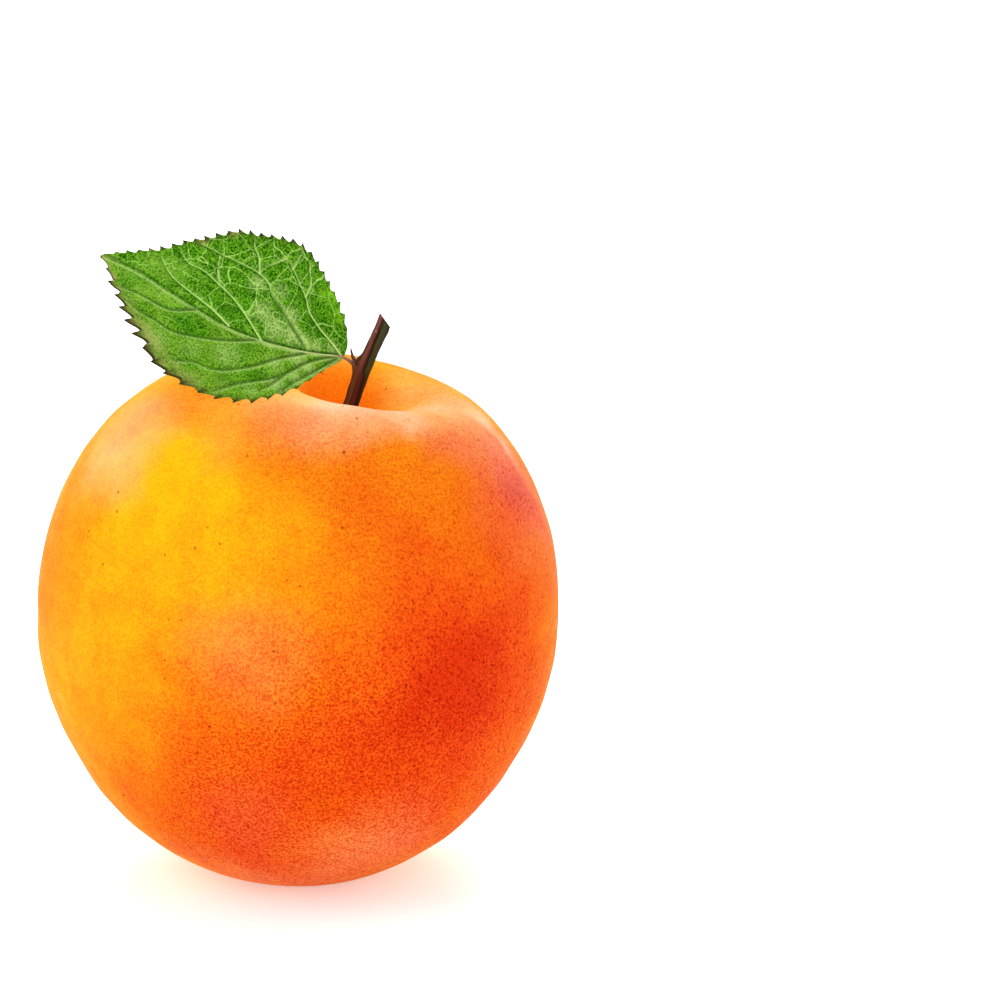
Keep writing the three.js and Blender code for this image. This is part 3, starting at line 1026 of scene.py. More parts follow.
# %% [markdown]
# ## The stipule
# Beside the stalk stands a stipule: a small dry spike, left from when the leaf unfolded. It is
# a flat little blade rather than a wire, so its rings are squeezed in one direction. It is
# broad at its foot, gets narrower all the way, and bends over a little at its point.

# %% Stipule
STIPULE_PATH = [(6.45, -2.3, 53.65), (5.85, -2.2, 54.0), (5.58, -2.35, 54.75), (5.5, -2.65, 55.48)]
STIPULE_RADIUS = 0.27
STIPULE_FLATNESS = 0.45
STIPULE_POINT = 0.1
STIPULE_TAPER = 0.85
STIPULE_FOOT = 0.2
STIPULE_LUMP_HEIGHT = 0.08
STIPULE_LUMP_SIZE = 0.7
STIPULE_UNROLLED_LENGTH = 3
STIPULE_SIDES = 20
STIPULE_RINGS = 60

stipule_line = SmoothLine(STIPULE_PATH)
stipule_shares = np.linspace(0, 1, STIPULE_RINGS)
stipule_angles = np.arange(STIPULE_SIDES) * 2 * np.pi / STIPULE_SIDES


def stipule_radius(shares, angles):
    """The stipule's radius: pointed, flattened and a little uneven."""
    share, angle = np.meshgrid(shares, angles, indexing="ij")
    outline = STIPULE_POINT + (1 - STIPULE_POINT) * np.clip(1 - share, 0, 1) ** STIPULE_TAPER
    outline = outline + STIPULE_FOOT * bell(share / STIPULE_FOOT)
    squeeze = 1 - STIPULE_FLATNESS * np.sin(angle) ** 2
    spike = unroll(share, angle, STIPULE_UNROLLED_LENGTH)
    lumps = STIPULE_LUMP_HEIGHT * soft_lumps(spike, STIPULE_LUMP_SIZE, seed=51)
    return STIPULE_RADIUS * outline * squeeze * (1 + lumps)


stipule_rings = rod_rings(
    stipule_line, stipule_shares, stipule_angles, stipule_radius(stipule_shares, stipule_angles)
)
stipule = make_piece(
    "stipule_spike",
    ring_points(stipule_line.at(0.0), stipule_rings, stipule_line.at(1.0)),
    ring_faces(STIPULE_RINGS, STIPULE_SIDES),
)
print("The stipule is", round(stipule_line.length, 1), "mm long")

# %% [markdown]
# ## Node helpers
# A finish is a small network of nodes. Building one by hand in the node editor is the best way
# to learn what each node does, but in a script it needs a few short calls to stay readable.
# This class keeps one node tree, adds nodes to it, and links or sets their inputs. Where a call
# gets the output of another node, it makes a link, and where it gets a plain number or colour,
# it types that into the input.

# %% Node sheet
MILLIMETRES = 1000


class NodeSheet:
    """One node tree, with short calls for the nodes that the finishes use."""

    def __init__(self, tree):
        self.tree = tree

    def feed(self, socket, value):
        """Links an output to an input, or sets the input to a value."""
        if isinstance(value, bpy.types.NodeSocket):
            self.tree.links.new(value, socket)
        elif value is not None:
            socket.default_value = value

    def node(self, kind, inputs=(), **settings):
        """A new node with these settings and inputs."""
        made = self.tree.nodes.new(kind)
        for name, value in settings.items():
            setattr(made, name, value)
        for name, value in dict(inputs).items():
            self.feed(made.inputs[name], value)
        return made

    def math(self, operation, first, second=None):
        inputs = {0: first} if second is None else {0: first, 1: second}
        return self.node("ShaderNodeMath", inputs, operation=operation).outputs[0]

    def vector(self, operation, first, second=None, scale=None):
        made = self.node("ShaderNodeVectorMath", {0: first}, operation=operation)
        self.feed(made.inputs[1], second)
        if scale is not None:
            self.feed(made.inputs["Scale"], scale)
        return made.outputs["Value" if operation in ("LENGTH", "DOT_PRODUCT") else "Vector"]

    def spread(self, value, low, high, to_low=0.0, to_high=1.0):
        """Maps low..high to to_low..to_high along a smooth step."""
        inputs = {0: value, 1: low, 2: high, 3: to_low, 4: to_high}
        return self.node("ShaderNodeMapRange", inputs, interpolation_type="SMOOTHSTEP").outputs[0]

    def mix(self, share, first, second, blend_type="MIX"):
        """The first colour where share is 0, the second where it is 1."""
        inputs = {0: share, 6: first, 7: second}
        made = self.node("ShaderNodeMix", inputs, data_type="RGBA", blend_type=blend_type)
        return made.outputs[2]

    def ramp(self, value, stops):
        """A colour read from a list of places and colours."""
        made = self.node("ShaderNodeValToRGB", {0: value})
        elements = made.color_ramp.elements
        while len(elements) < len(stops):
            elements.new(1.0)
        for element, (place, colour) in zip(elements, stops):
            element.position = place
            element.color = (*colour, 1)
        return made.outputs["Color"]

    def mark(self, name, output="Fac"):
        """A value stored on the points of the mesh."""
        return self.node("ShaderNodeAttribute", attribute_name=name).outputs[output]

    def group(self, tree, **inputs):
        """One of the shared effects, placed with its own values."""
        made = self.node("ShaderNodeGroup", node_tree=tree)
        for name, value in inputs.items():
            self.feed(made.inputs[name.replace("_", " ").title()], value)
        return made.outputs[0]


def new_group(name, inputs, output):
    """An empty node group with named inputs and one output. Returns its sheet and its two ends."""
    tree = bpy.data.node_groups.new(name, "ShaderNodeTree")
    for label, (kind, value) in inputs.items():
        socket = tree.interface.new_socket(label, in_out="INPUT", socket_type=kind)
        socket.default_value = value
    tree.interface.new_socket(output, in_out="OUTPUT", socket_type="NodeSocketFloat")
    sheet = NodeSheet(tree)
    entry = sheet.node("NodeGroupInput")
    leave = sheet.node("NodeGroupOutput")
    return sheet, entry.outputs, leave.inputs[0]


def new_finish(name):
    """A material, its sheet, its shader, and the place on the piece in millimetres."""
    material = bpy.data.materials.new(name)
    material.use_nodes = True
    sheet = NodeSheet(material.node_tree)
    shader = material.node_tree.nodes["Principled BSDF"]
    here = sheet.node("ShaderNodeTexCoord").outputs["Object"]
    return material, sheet, shader, sheet.vector("SCALE", here, scale=MILLIMETRES)


def roughen(sheet, shader, height, strength, distance):
    """Bump from a height that changes over the surface. The distance is in metres."""
    inputs = {"Height": height, "Strength": strength, "Distance": distance}
    sheet.feed(shader.inputs["Normal"], sheet.node("ShaderNodeBump", inputs).outputs[0])


print("Calls of a node sheet:", [name for name in vars(NodeSheet) if not name.startswith("_")])

# %% [markdown]
# ## Effects that several finishes share
# Skin, leaf and bark are all mottled, all carry small dots, and all have a fine grain. Each of
# these effects is made once as a node group, with the size in millimetres as an input, and each
# finish places it with its own values. A fourth group makes a soft round patch around a point,
# for colour that belongs to one spot of the fruit or the leaf.

# %% Mottling
PLACE = ("NodeSocketVector", (0, 0, 0))
MOTTLE_CONTRAST = (0.28, 0.72)

sheet, entry, leave = new_group(
    "Mottling",
    {"Place": PLACE, "Patch Size": ("NodeSocketFloat", 5.0), "Detail": ("NodeSocketFloat", 3.0)},
    "Mask",
)
per_patch = sheet.math("DIVIDE", 1, entry["Patch Size"])
scaled = sheet.vector("SCALE", entry["Place"], scale=per_patch)
cloud = {"Vector": scaled, "Scale": 1, "Detail": entry["Detail"]}
noise = sheet.node("ShaderNodeTexNoise", cloud).outputs[0]
sheet.feed(leave, sheet.spread(noise, *MOTTLE_CONTRAST))
mottling = sheet.tree
print("Made the group", mottling.name)

# %% [markdown]
# The dots sit in cells, one dot in each chosen cell. Every cell has a random colour of its own,
# and two of its channels decide here how big its dot is and whether it has one at all. The place
# is shaken a little first, so that the dots aren't perfect discs.

# %% Speckles
SHAKE = 0.12
SHAKE_SCALE = 6
SMALLEST_DOT = 0.35
DOT_EDGE = (0.55, 1.15)

sheet, entry, leave = new_group(
    "Speckles",
    {
        "Place": PLACE,
        "Spacing": ("NodeSocketFloat", 1.0),
        "Dot Size": ("NodeSocketFloat", 0.1),
        "Share": ("NodeSocketFloat", 0.5),
    },
    "Mask",
)
cloud = {"Vector": entry["Place"], "Scale": SHAKE_SCALE, "Detail": 1}
wobble = sheet.node("ShaderNodeTexNoise", cloud).outputs["Color"]
shift = sheet.vector("SCALE", sheet.vector("SUBTRACT", wobble, (0.5, 0.5, 0.5)), scale=SHAKE)
shaken = sheet.vector("ADD", entry["Place"], shift)
per_cell = sheet.math("DIVIDE", 1, entry["Spacing"])
scaled = sheet.vector("SCALE", shaken, scale=per_cell)
cells = sheet.node("ShaderNodeTexVoronoi", {"Vector": scaled, "Scale": 1})
own = sheet.node("ShaderNodeSeparateXYZ", {0: cells.outputs["Color"]}).outputs
gap = sheet.math("MULTIPLY", cells.outputs["Distance"], entry["Spacing"])
growth = sheet.math("ADD", SMALLEST_DOT, sheet.math("POWER", own[0], 2))
size = sheet.math("MULTIPLY", entry["Dot Size"], growth)
dot = sheet.spread(sheet.math("DIVIDE", gap, size), *DOT_EDGE, 1, 0)
chosen = sheet.math("LESS_THAN", own[1], entry["Share"])
sheet.feed(leave, sheet.math("MULTIPLY", dot, chosen))
speckles = sheet.tree
print("Made the group", speckles.name)

# %% Fine grain
sheet, entry, leave = new_group(
    "Fine Grain", {"Place": PLACE, "Grain Size": ("NodeSocketFloat", 0.3)}, "Height"
)
per_grain = sheet.math("DIVIDE", 1, entry["Grain Size"])
scaled = sheet.vector("SCALE", entry["Place"], scale=per_grain)
cloud = {"Vector": scaled, "Scale": 1, "Detail": 3, "Roughness": 0.6}
sheet.feed(leave, sheet.node("ShaderNodeTexNoise", cloud).outputs[0])
fine_grain = sheet.tree
print("Made the group", fine_grain.name)

# %% Soft patch
sheet, entry, leave = new_group(
    "Soft Patch", {"Place": PLACE, "Centre": PLACE, "Reach": ("NodeSocketFloat", 10.0)}, "Mask"
)
away = sheet.vector("LENGTH", sheet.vector("SUBTRACT", entry["Place"], entry["Centre"]))
sheet.feed(leave, sheet.spread(sheet.math("DIVIDE", away, entry["Reach"]), 0, 1, 1, 0))
soft_patch = sheet.tree
print("Shared effects:", [tree.name for tree in bpy.data.node_groups])

# %% [markdown]
# ## The skin
# Ripe apricot skin runs from yellow on the shaded side to orange and red where the sun reached
# it. The change is gradual, but its edge is cloudy. So one value, the ripeness, is gathered from
# broad and small patches, disturbed by mottling, and turned into colour by a ramp. Each patch is
# given by its centre on the fruit in millimetres, its reach, and how much riper it makes the
# skin. Below zero it makes it less ripe.

# %% Ripeness
SKIN_COLOURS = [
    (0.0, (0.79, 0.44, 0.003)),
    (0.25, (0.77, 0.265, 0.004)),
    (0.5, (0.745, 0.148, 0.004)),
    (0.75, (0.71, 0.078, 0.004)),
    (1.0, (0.60, 0.033, 0.003)),
]
FIRST_RIPENESS = 0.13
RIPENESS_PATCHES = [
    # the sunny cheek and the broad flush that spreads from it up to the right shoulder
    ((10, -17, 20), 29, 0.70),
    ((17, -16, 30), 16, 0.4),
    ((7, -18, 46), 16, 0.4),
    ((23, -9, 45), 14, 0.42),
    ((26, -6, 42), 12, 0.25),
    ((25, -3, 35), 17, 0.24),
    ((20, -6, 45), 8, 0.07),
    ((21.5, -7, 42.5), 7, 0.2),
    ((23.5, -8, 37.5), 8, -0.2),
    # low on the front and on the left
    ((-6, -16, 7), 13, 0.3),
    ((-8, -18, 18), 18, 0.24),
    ((-16, -14, 12), 16, 0.14),
    ((-11, -17, 9), 6, -0.14),
    ((-4, -20, 13), 8, 0.05),
    ((6, -19, 10), 10, -0.2),
    ((0, -8, 3), 13, 0.15),
    ((-24, -6, 34), 12, 0.12),
    ((-22, -8, 41), 7, 0.05),
    # small changes in the middle of the front
    ((0, -22, 27), 8, -0.12),
    ((5, -24, 26), 7, -0.08),
    ((-7, -23, 29), 8, 0.08),
    ((3, -24, 31), 6, 0.08),
    ((2, -22, 40), 8, -0.1),
    ((9, -17, 46), 7, -0.07),
    # around the stem cavity, and inside it
    ((-7, -10, 48), 23, -0.18),
    ((-2, -14, 50), 7, 0.25),
    ((-12, -6, 51), 9, 0.25),
    ((-13.9, -9.1, 48.8), 5, -0.06),
    ((-8, -8, 51.4), 7, 0.13),
    ((-6, -11, 52), 8, 0.16),
    ((1.8, -11.3, 51.4), 3.5, 0.12),
    ((14.4, -9, 48.4), 5.5, 0.16),
    ((14.5, 2.5, 49.1), 4, 0.08),
    ((3, 2, 47), 10, 0.4),
    # the back
    ((8, 22, 14), 22, 0.3),
    ((-18, 14, 40), 16, 0.15),
]
CLOUD_SCALE = 0.12
CLOUD_DRIFT = 9
LARGE_MOTTLE_SIZE = 3.5
LARGE_MOTTLE_SHARE = 0.08
SMALL_MOTTLE_SIZE = 1.1
SMALL_MOTTLE_SHARE = 0.05


def drifted_place(sheet, place):
    """The place, moved about by a slow cloud, so that no patch keeps a round edge."""
    cloud = sheet.node("ShaderNodeTexNoise", {"Vector": place, "Scale": CLOUD_SCALE, "Detail": 4})
    shift = sheet.vector("SUBTRACT", cloud.outputs["Color"], (0.5, 0.5, 0.5))
    return sheet.vector("ADD", place, sheet.vector("SCALE", shift, scale=CLOUD_DRIFT))


def skin_ripeness(sheet, place, drifted, small_mottles):
    """0 for yellow skin, up to 1 for the darkest red."""
    large_mottles = sheet.group(mottling, place=place, patch_size=LARGE_MOTTLE_SIZE)
    ripeness = sheet.math("MULTIPLY", large_mottles, LARGE_MOTTLE_SHARE)
    small_share = sheet.math("MULTIPLY", small_mottles, SMALL_MOTTLE_SHARE)
    ripeness = sheet.math("ADD", ripeness, small_share)
    ripeness = sheet.math("ADD", ripeness, FIRST_RIPENESS)
    for centre, reach, strength in RIPENESS_PATCHES:
        patch = sheet.group(soft_patch, place=drifted, centre=centre, reach=reach)
        ripeness = sheet.math("ADD", ripeness, sheet.math("MULTIPLY", patch, strength))
    return ripeness


print("Ripeness patches:", len(RIPENESS_PATCHES))

# %% [markdown]
# Some colours don't lie on that ramp. The pale bloom is painted sheen: the glow of light from
# above caught by the fine hairs on the shoulders and around the rim of the cavity. Blush is a
# rosy tint over the red, low on the fruit and on the right shoulder, and at the foot it also
# paints the pale sheen of light thrown up by the floor. Gold and deep orange are painted light
# that keeps the skin under the leaf and inside the cavity bright, and deep orange is also the
# cavity's own colour. They are laid on with patches too, each with its strength and its colour.

# %% Colours on the skin
# pale painted sheen: the glow of light from above on the skin's fine hairs
PAINTED_SHEEN = (0.92, 0.67, 0.52, 1)
# rosy blush, and at the foot painted sheen of light from the floor
BLUSH_AND_FLOOR_SHEEN = (0.90, 0.28, 0.22, 1)
# painted light: gold, and a deep orange that is partly the skin's own colour
PAINTED_LIGHT_GOLD = (0.97, 0.42, 0.07, 1)
DEEP_ORANGE_AND_LIGHT = (0.97, 0.19, 0.003, 1)
COLOUR_PATCHES = [
    # painted light: gold on the near rim under the leaf, and deep orange inside the cavity, partly its
    # own colour
    ((-5, -12, 51), 7.5, 0.3, PAINTED_LIGHT_GOLD),
    ((3, 4, 48.5), 9, 1.0, DEEP_ORANGE_AND_LIGHT),
    # painted sheen along the near rim of the cavity and on the right shoulder, and one spot of deep
    # orange, partly painted light, under the leaf
    ((-18, -7, 49), 10, 0.28, PAINTED_SHEEN),
    ((2, -12, 54), 9, 0.3, PAINTED_SHEEN),
    ((6, -9, 52), 7, 0.4, PAINTED_SHEEN),
    ((10.6, -7.2, 50.4), 4.5, 0.5, PAINTED_SHEEN),
    ((14.2, -2, 49.2), 4.5, 0.25, PAINTED_SHEEN),
    ((18.4, 0, 47.2), 3.6, 0.42, PAINTED_SHEEN),
    ((16.5, 2, 48.6), 3.6, 0.25, PAINTED_SHEEN),
    ((21.2, 0, 44), 3.6, 0.36, PAINTED_SHEEN),
    ((3, -8.6, 52), 4, 0.25, PAINTED_SHEEN),
    ((-0.5, -12.6, 51), 4, 0.3, DEEP_ORANGE_AND_LIGHT),
    # thinner painted sheen over broader parts of the shoulders, all around, and a trace on the front
    ((17, -4, 50), 11, 0.18, PAINTED_SHEEN),
    ((24, -4, 41), 14, 0.06, PAINTED_SHEEN),
    ((12, 4.5, 49.5), 6, 0.12, PAINTED_SHEEN),
    ((2, 17, 51), 11, 0.12, PAINTED_SHEEN),
    ((-15, 9, 50), 11, 0.12, PAINTED_SHEEN),
    ((17, 13, 46), 10, 0.12, PAINTED_SHEEN),
    ((-4, -24, 31), 9, 0.05, PAINTED_SHEEN),
    # blush: a rosy tint, and at the foot also painted sheen of light thrown up by the floor
    ((-3, -9, 1), 13, 0.26, BLUSH_AND_FLOOR_SHEEN),
    ((8, -17, 7), 11, 0.28, BLUSH_AND_FLOOR_SHEEN),
    ((-4, -20, 13), 8, 0.08, BLUSH_AND_FLOOR_SHEEN),
    ((22, -5, 42), 12, 0.14, BLUSH_AND_FLOOR_SHEEN),
]
GRAIN_IN_RIPENESS = 0.5


def skin_colour(sheet, drifted, ripeness, grain):
    """The ramp's colour for the ripeness, varied by the grain, with painted sheen, blush and painted
    light on it.
    """
    varied = sheet.math("MULTIPLY", sheet.math("SUBTRACT", 0.5, grain), GRAIN_IN_RIPENESS)
    colour = sheet.ramp(sheet.math("ADD", ripeness, varied), SKIN_COLOURS)
    for centre, reach, strength, patch_colour in COLOUR_PATCHES:
        patch = sheet.group(soft_patch, place=drifted, centre=centre, reach=reach)
        colour = sheet.mix(sheet.math("MULTIPLY", patch, strength), colour, patch_colour)
    return colour


print("Colour patches:", len(COLOUR_PATCHES))

# %% [markdown]
# Seen from close by, the skin is grainy: darker in its smallest hollows, most of all where it is
# ripe and low on the sunny cheek. A fine red-brown stipple covers the ripe parts, and a few
# larger pores lie everywhere. Down in the dimple the skin turns to cork around the stem.

# %% Small marks on the skin
GRAINY_CENTRE = (8, -18, 12)
GRAINY_REACH = 32
GRAIN_HOLLOWS = (0.56, 0.38)
GRAIN_SHADE = (0.76, 0.46, 0.2, 1)
PORE_SHADE = (0.55, 0.28, 0.12, 1)
PORE_STRENGTH = 0.9
COLLAR_COLOUR = (0.20, 0.09, 0.03, 1)


def skin_marks(sheet, colour, place, drifted, ripeness, grain, pores):
    """Grain, stipple, pores and the corky collar, on top of the skin's colour."""
    near_cheek = sheet.group(soft_patch, place=drifted, centre=GRAINY_CENTRE, reach=GRAINY_REACH)
    near_cheek = sheet.spread(near_cheek, 0, 0.8, 0.34, 1.0)
    grainy = sheet.math("MULTIPLY", near_cheek, sheet.spread(ripeness, 0.06, 0.55, 0.2, 1.55))
    shade = sheet.math("MULTIPLY", sheet.spread(grain, *GRAIN_HOLLOWS), grainy)
    colour = sheet.mix(shade, colour, GRAIN_SHADE, "MULTIPLY")
    stipple = sheet.group(speckles, place=place, spacing=0.36, dot_size=0.16, share=0.6)
    stipple = sheet.math("MULTIPLY", stipple, sheet.spread(ripeness, 0.3, 0.9, 0.12, 0.75))
    colour = sheet.mix(stipple, colour, PORE_SHADE, "MULTIPLY")
    colour = sheet.mix(sheet.math("MULTIPLY", pores, PORE_STRENGTH), colour, PORE_SHADE, "MULTIPLY")
    return sheet.mix(sheet.mark("collar"), colour, COLLAR_COLOUR)


print("The skin is grainiest within", GRAINY_REACH, "mm of", GRAINY_CENTRE)

# %% [markdown]
# The skin is matt and velvety: its roughness varies a little with the small mottles, a weak bump
# makes the grain and the pores real to the light, and a little sheen stands for the very short
# hairs that catch the light at the edges.

# %% Skin finish
COLOUR_GRAIN_SIZE = 0.24
BUMP_GRAIN_SIZE = 0.2
PORE_DEPTH = 0.5


def skin_finish():
    material, sheet, shader, place = new_finish("apricot skin")
    drifted = drifted_place(sheet, place)
    small_mottles = sheet.group(mottling, place=place, patch_size=SMALL_MOTTLE_SIZE)
    ripeness = skin_ripeness(sheet, place, drifted, small_mottles)
    grain = sheet.group(fine_grain, place=place, grain_size=COLOUR_GRAIN_SIZE)
    pores = sheet.group(speckles, place=place, spacing=1.3, dot_size=0.155, share=0.6)
    colour = skin_colour(sheet, drifted, ripeness, grain)
    colour = skin_marks(sheet, colour, place, drifted, ripeness, grain, pores)
    sheet.feed(shader.inputs["Base Color"], colour)
    sheet.feed(shader.inputs["Roughness"], sheet.spread(small_mottles, 0, 1, 0.5, 0.62))
    height = sheet.group(fine_grain, place=place, grain_size=BUMP_GRAIN_SIZE)
    height = sheet.math("SUBTRACT", height, sheet.math("MULTIPLY", pores, PORE_DEPTH))
    roughen(sheet, shader, height, strength=0.5, distance=0.00012)
    shader.inputs["Specular IOR Level"].default_value = 0.012
    shader.inputs["Sheen Weight"].default_value = 0.03
    shader.inputs["Sheen Roughness"].default_value = 0.35
    shader.inputs["Sheen Tint"].default_value = (1.0, 0.6, 0.35, 1)
    return material


fruit.data.materials.append(skin_finish())
print("Skin finish nodes:", len(fruit.active_material.node_tree.nodes))

# %% [markdown]
# ## The leaf's finish
# The upper face is a fresh green, more worn and yellowish where it is puckered. A net of fine
# veins divides the blade into fields, and each field into smaller ones, so it comes from cells
# drawn on the flat leaf at three sizes. Patches lay colour on single fields: painted shade in deep
# green where a fold lies in shade, painted sheen in pale green where a swelling catches the light,
# bright at the foot, sunny toward the tip, and dried to tan at two places on the upper margin and,
# faintly, at one near the lower margin.

# %% Colours of the leaf
LEAF_DEEP = (0.014, 0.105, 0.001, 1)
LEAF_FRESH = (0.032, 0.172, 0.001, 1)
LEAF_WORN = (0.128, 0.265, 0.015, 1)
# pale green: painted sheen on swellings and painted light on the lit groove walls
LEAF_PAINTED_LIGHT = (0.385, 0.55, 0.15, 1)
LEAF_BRIGHT = (0.17, 0.46, 0.01, 1)
LEAF_NET = (0.215, 0.53, 0.027, 1)
LEAF_VEIN = (0.49, 0.77, 0.18, 1)
# painted shade on one wall of each groove
LEAF_PAINTED_SHADE = (0.006, 0.050, 0.001, 1)
LEAF_SHADE = (0.22, 0.38, 0.10, 1)
LEAF_UNDER = (0.20, 0.32, 0.10, 1)
LEAF_SUNNY = (0.20, 0.42, 0.035, 1)
LEAF_TAN = (0.34, 0.33, 0.09, 1)
LEAF_DRY = (0.035, 0.018, 0.008, 1)
# deep green patches are painted shade, pale ones painted sheen
LEAF_PATCHES = [
    ((12.2, -5.0, 0), 1.5, 0.5, LEAF_DEEP),
    ((14.6, -5.6, 0), 1.5, 0.3, LEAF_DEEP),
    ((8.7, -4.9, 0), 1.2, 0.5, LEAF_DEEP),
    ((7.0, -7.6, 0), 1.3, 0.5, LEAF_DEEP),
    ((9.8, -10.1, 0), 1.4, 0.5, LEAF_DEEP),
    ((12.0, -2.2, 0), 1.8, 0.5, LEAF_DEEP),
    ((3.6, 0.9, 0), 1.6, 0.85, LEAF_DEEP),
    ((5.5, 2.6, 0), 1.2, 0.6, LEAF_DEEP),
    ((14.6, 1.0, 0), 1.4, 0.4, LEAF_DEEP),
    ((8.9, -0.8, 0), 1.5, 0.9, LEAF_PAINTED_LIGHT),
    ((7.2, -1.6, 0), 1.6, 1.0, LEAF_PAINTED_LIGHT),
    ((5.4, -1.3, 0), 1.5, 1.0, LEAF_PAINTED_LIGHT),
    ((4.0, -1.1, 0), 1.1, 0.9, LEAF_PAINTED_LIGHT),
    ((2.7, -0.9, 0), 1.0, 0.9, LEAF_PAINTED_LIGHT),
    ((1.2, 0.0, 0), 1.2, 0.8, LEAF_PAINTED_LIGHT),
    ((6.2, 0.4, 0), 1.2, 0.8, LEAF_PAINTED_LIGHT),
    ((8.0, 1.9, 0), 1.2, 0.6, LEAF_PAINTED_LIGHT),
    ((10.4, 1.5, 0), 1.4, 0.8, LEAF_PAINTED_LIGHT),
    ((4.1, -3.2, 0), 1.5, 1.0, LEAF_PAINTED_LIGHT),
    ((5.8, -5.2, 0), 1.4, 0.6, LEAF_PAINTED_LIGHT),
    ((6.9, -3.3, 0), 1.2, 0.5, LEAF_PAINTED_LIGHT),
    ((2.6, -3.6, 0), 1.1, 0.8, LEAF_PAINTED_LIGHT),
    ((3.4, -5.5, 0), 1.2, 0.8, LEAF_PAINTED_LIGHT),
    ((4.8, -7.5, 0), 1.4, 0.8, LEAF_PAINTED_LIGHT),
    ((6.8, -9.8, 0), 1.3, 0.4, LEAF_PAINTED_LIGHT),
    ((10.4, -7.0, 0), 2.2, 0.5, LEAF_PAINTED_LIGHT),
    ((13.8, -8.2, 0), 2.0, 0.25, LEAF_PAINTED_LIGHT),
    ((17.5, -9.2, 0), 2.4, 0.5, LEAF_PAINTED_LIGHT),
    ((20.6, 0.3, 0), 2.4, 0.9, LEAF_SUNNY),
    ((17.3, -3.6, 0), 2.2, 1.0, LEAF_SUNNY),
    ((20.4, -3.6, 0), 2.4, 0.9, LEAF_SUNNY),
    ((22.8, -1.8, 0), 2.6, 0.5, LEAF_SUNNY),
    ((18.8, -0.2, 0), 1.8, 0.8, LEAF_SUNNY),
    ((17.0, 0.5, 0), 1.4, 0.6, LEAF_SUNNY),
    ((12.3, -8.6, 0), 1.6, 0.22, LEAF_DEEP),
    ((9.4, -10.7, 0), 1.3, 0.2, LEAF_TAN),
    ((3.5, 4.2, 0), 1.6, 0.9, LEAF_BRIGHT),
    ((2.0, 3.0, 0), 1.4, 0.9, LEAF_BRIGHT),
    ((14.5, 5.2, 0), 0.9, 1.0, LEAF_TAN),
    ((17.1, 3.8, 0), 1.1, 0.9, LEAF_TAN),
]


print("Leaf patches:", len(LEAF_PATCHES))

# %% Net of fine veins
COARSE_NET = {"cell": 2.1, "width": 0.06, "bend": 0.42, "shift": 0}
MIDDLE_NET = {"cell": 1.0, "width": 0.07, "bend": 0.4, "shift": 5}
FINE_NET = {"cell": 0.4, "width": 0.08, "bend": 0.5, "shift": 9}
BEND_SCALE = 0.9
MIDDLE_NET_SHARE = 0.7
FINE_NET_SHARE = 0.5


def vein_net(sheet, flat, cell, width, bend, shift):
    """Thin bent lines between cells of one size on the flat leaf, all in millimetres."""
    cloud = {"Vector": flat, "Scale": BEND_SCALE / cell, "Detail": 1}
    wobble = sheet.node("ShaderNodeTexNoise", cloud).outputs["Color"]
    step = sheet.vector("SUBTRACT", wobble, (0.5, 0.5, 0.5))
    moved = sheet.vector("ADD", flat, sheet.vector("SCALE", step, scale=bend * cell))
    moved = sheet.vector("ADD", moved, (shift, 0, 0))
    cells = {"Vector": moved, "Scale": 1 / cell}
    edges = sheet.node("ShaderNodeTexVoronoi", cells, feature="DISTANCE_TO_EDGE")
    return sheet.spread(edges.outputs["Distance"], 0, width / cell, 1, 0)


print("Cells of the net, in mm:", [net["cell"] for net in (COARSE_NET, MIDDLE_NET, FINE_NET)])

# %% [markdown]
# The upper face is painted in an order that follows the leaf: the mottled green first, then the
# net and the shade of its small hollows, then the patches, the painted light and shade on the
# groove walls, and on top the veins. The coarsest veins of the net are the cross veins. They fade
# toward the lower half, where the real ones lie too deep to catch the light. The patches and the
# painted light are broken up by the grain, so that they look like light on a rough leaf and not
# like paint.

# %% Upper face
HALVES_BLEND = (-1.5, 1.0)
FRESH_MOTTLE_SIZE = 1.6
WORN_MOTTLE_SIZE = 4.5
WORN_CONTRAST = (0.1, 0.8)
WORN_ON_UPPER_HALF = 0.15
LEAF_GRAIN_SIZE = 0.2
LIT_GRAIN = (0.4, 0.62)
DARK_GRAIN = (0.54, 0.40)
PATCH_SHARE_IN_HOLLOWS = 0.35
CROSS_VEIN_RANGE = (-1.5, 4.5)
PAINTED_SHADE_STRENGTH = 0.95


def leaf_green(sheet, flat, patchy, upper_half):
    """The mottled green of the upper face, worn on its lower half."""
    colour = sheet.mix(patchy, LEAF_DEEP, LEAF_FRESH)
    worn = sheet.group(mottling, place=flat, patch_size=WORN_MOTTLE_SIZE)
    worn = sheet.spread(worn, *WORN_CONTRAST)
    worn = sheet.math("MULTIPLY", worn, sheet.spread(upper_half, 0, 1, 1.0, WORN_ON_UPPER_HALF))
    return sheet.mix(worn, colour, LEAF_WORN)


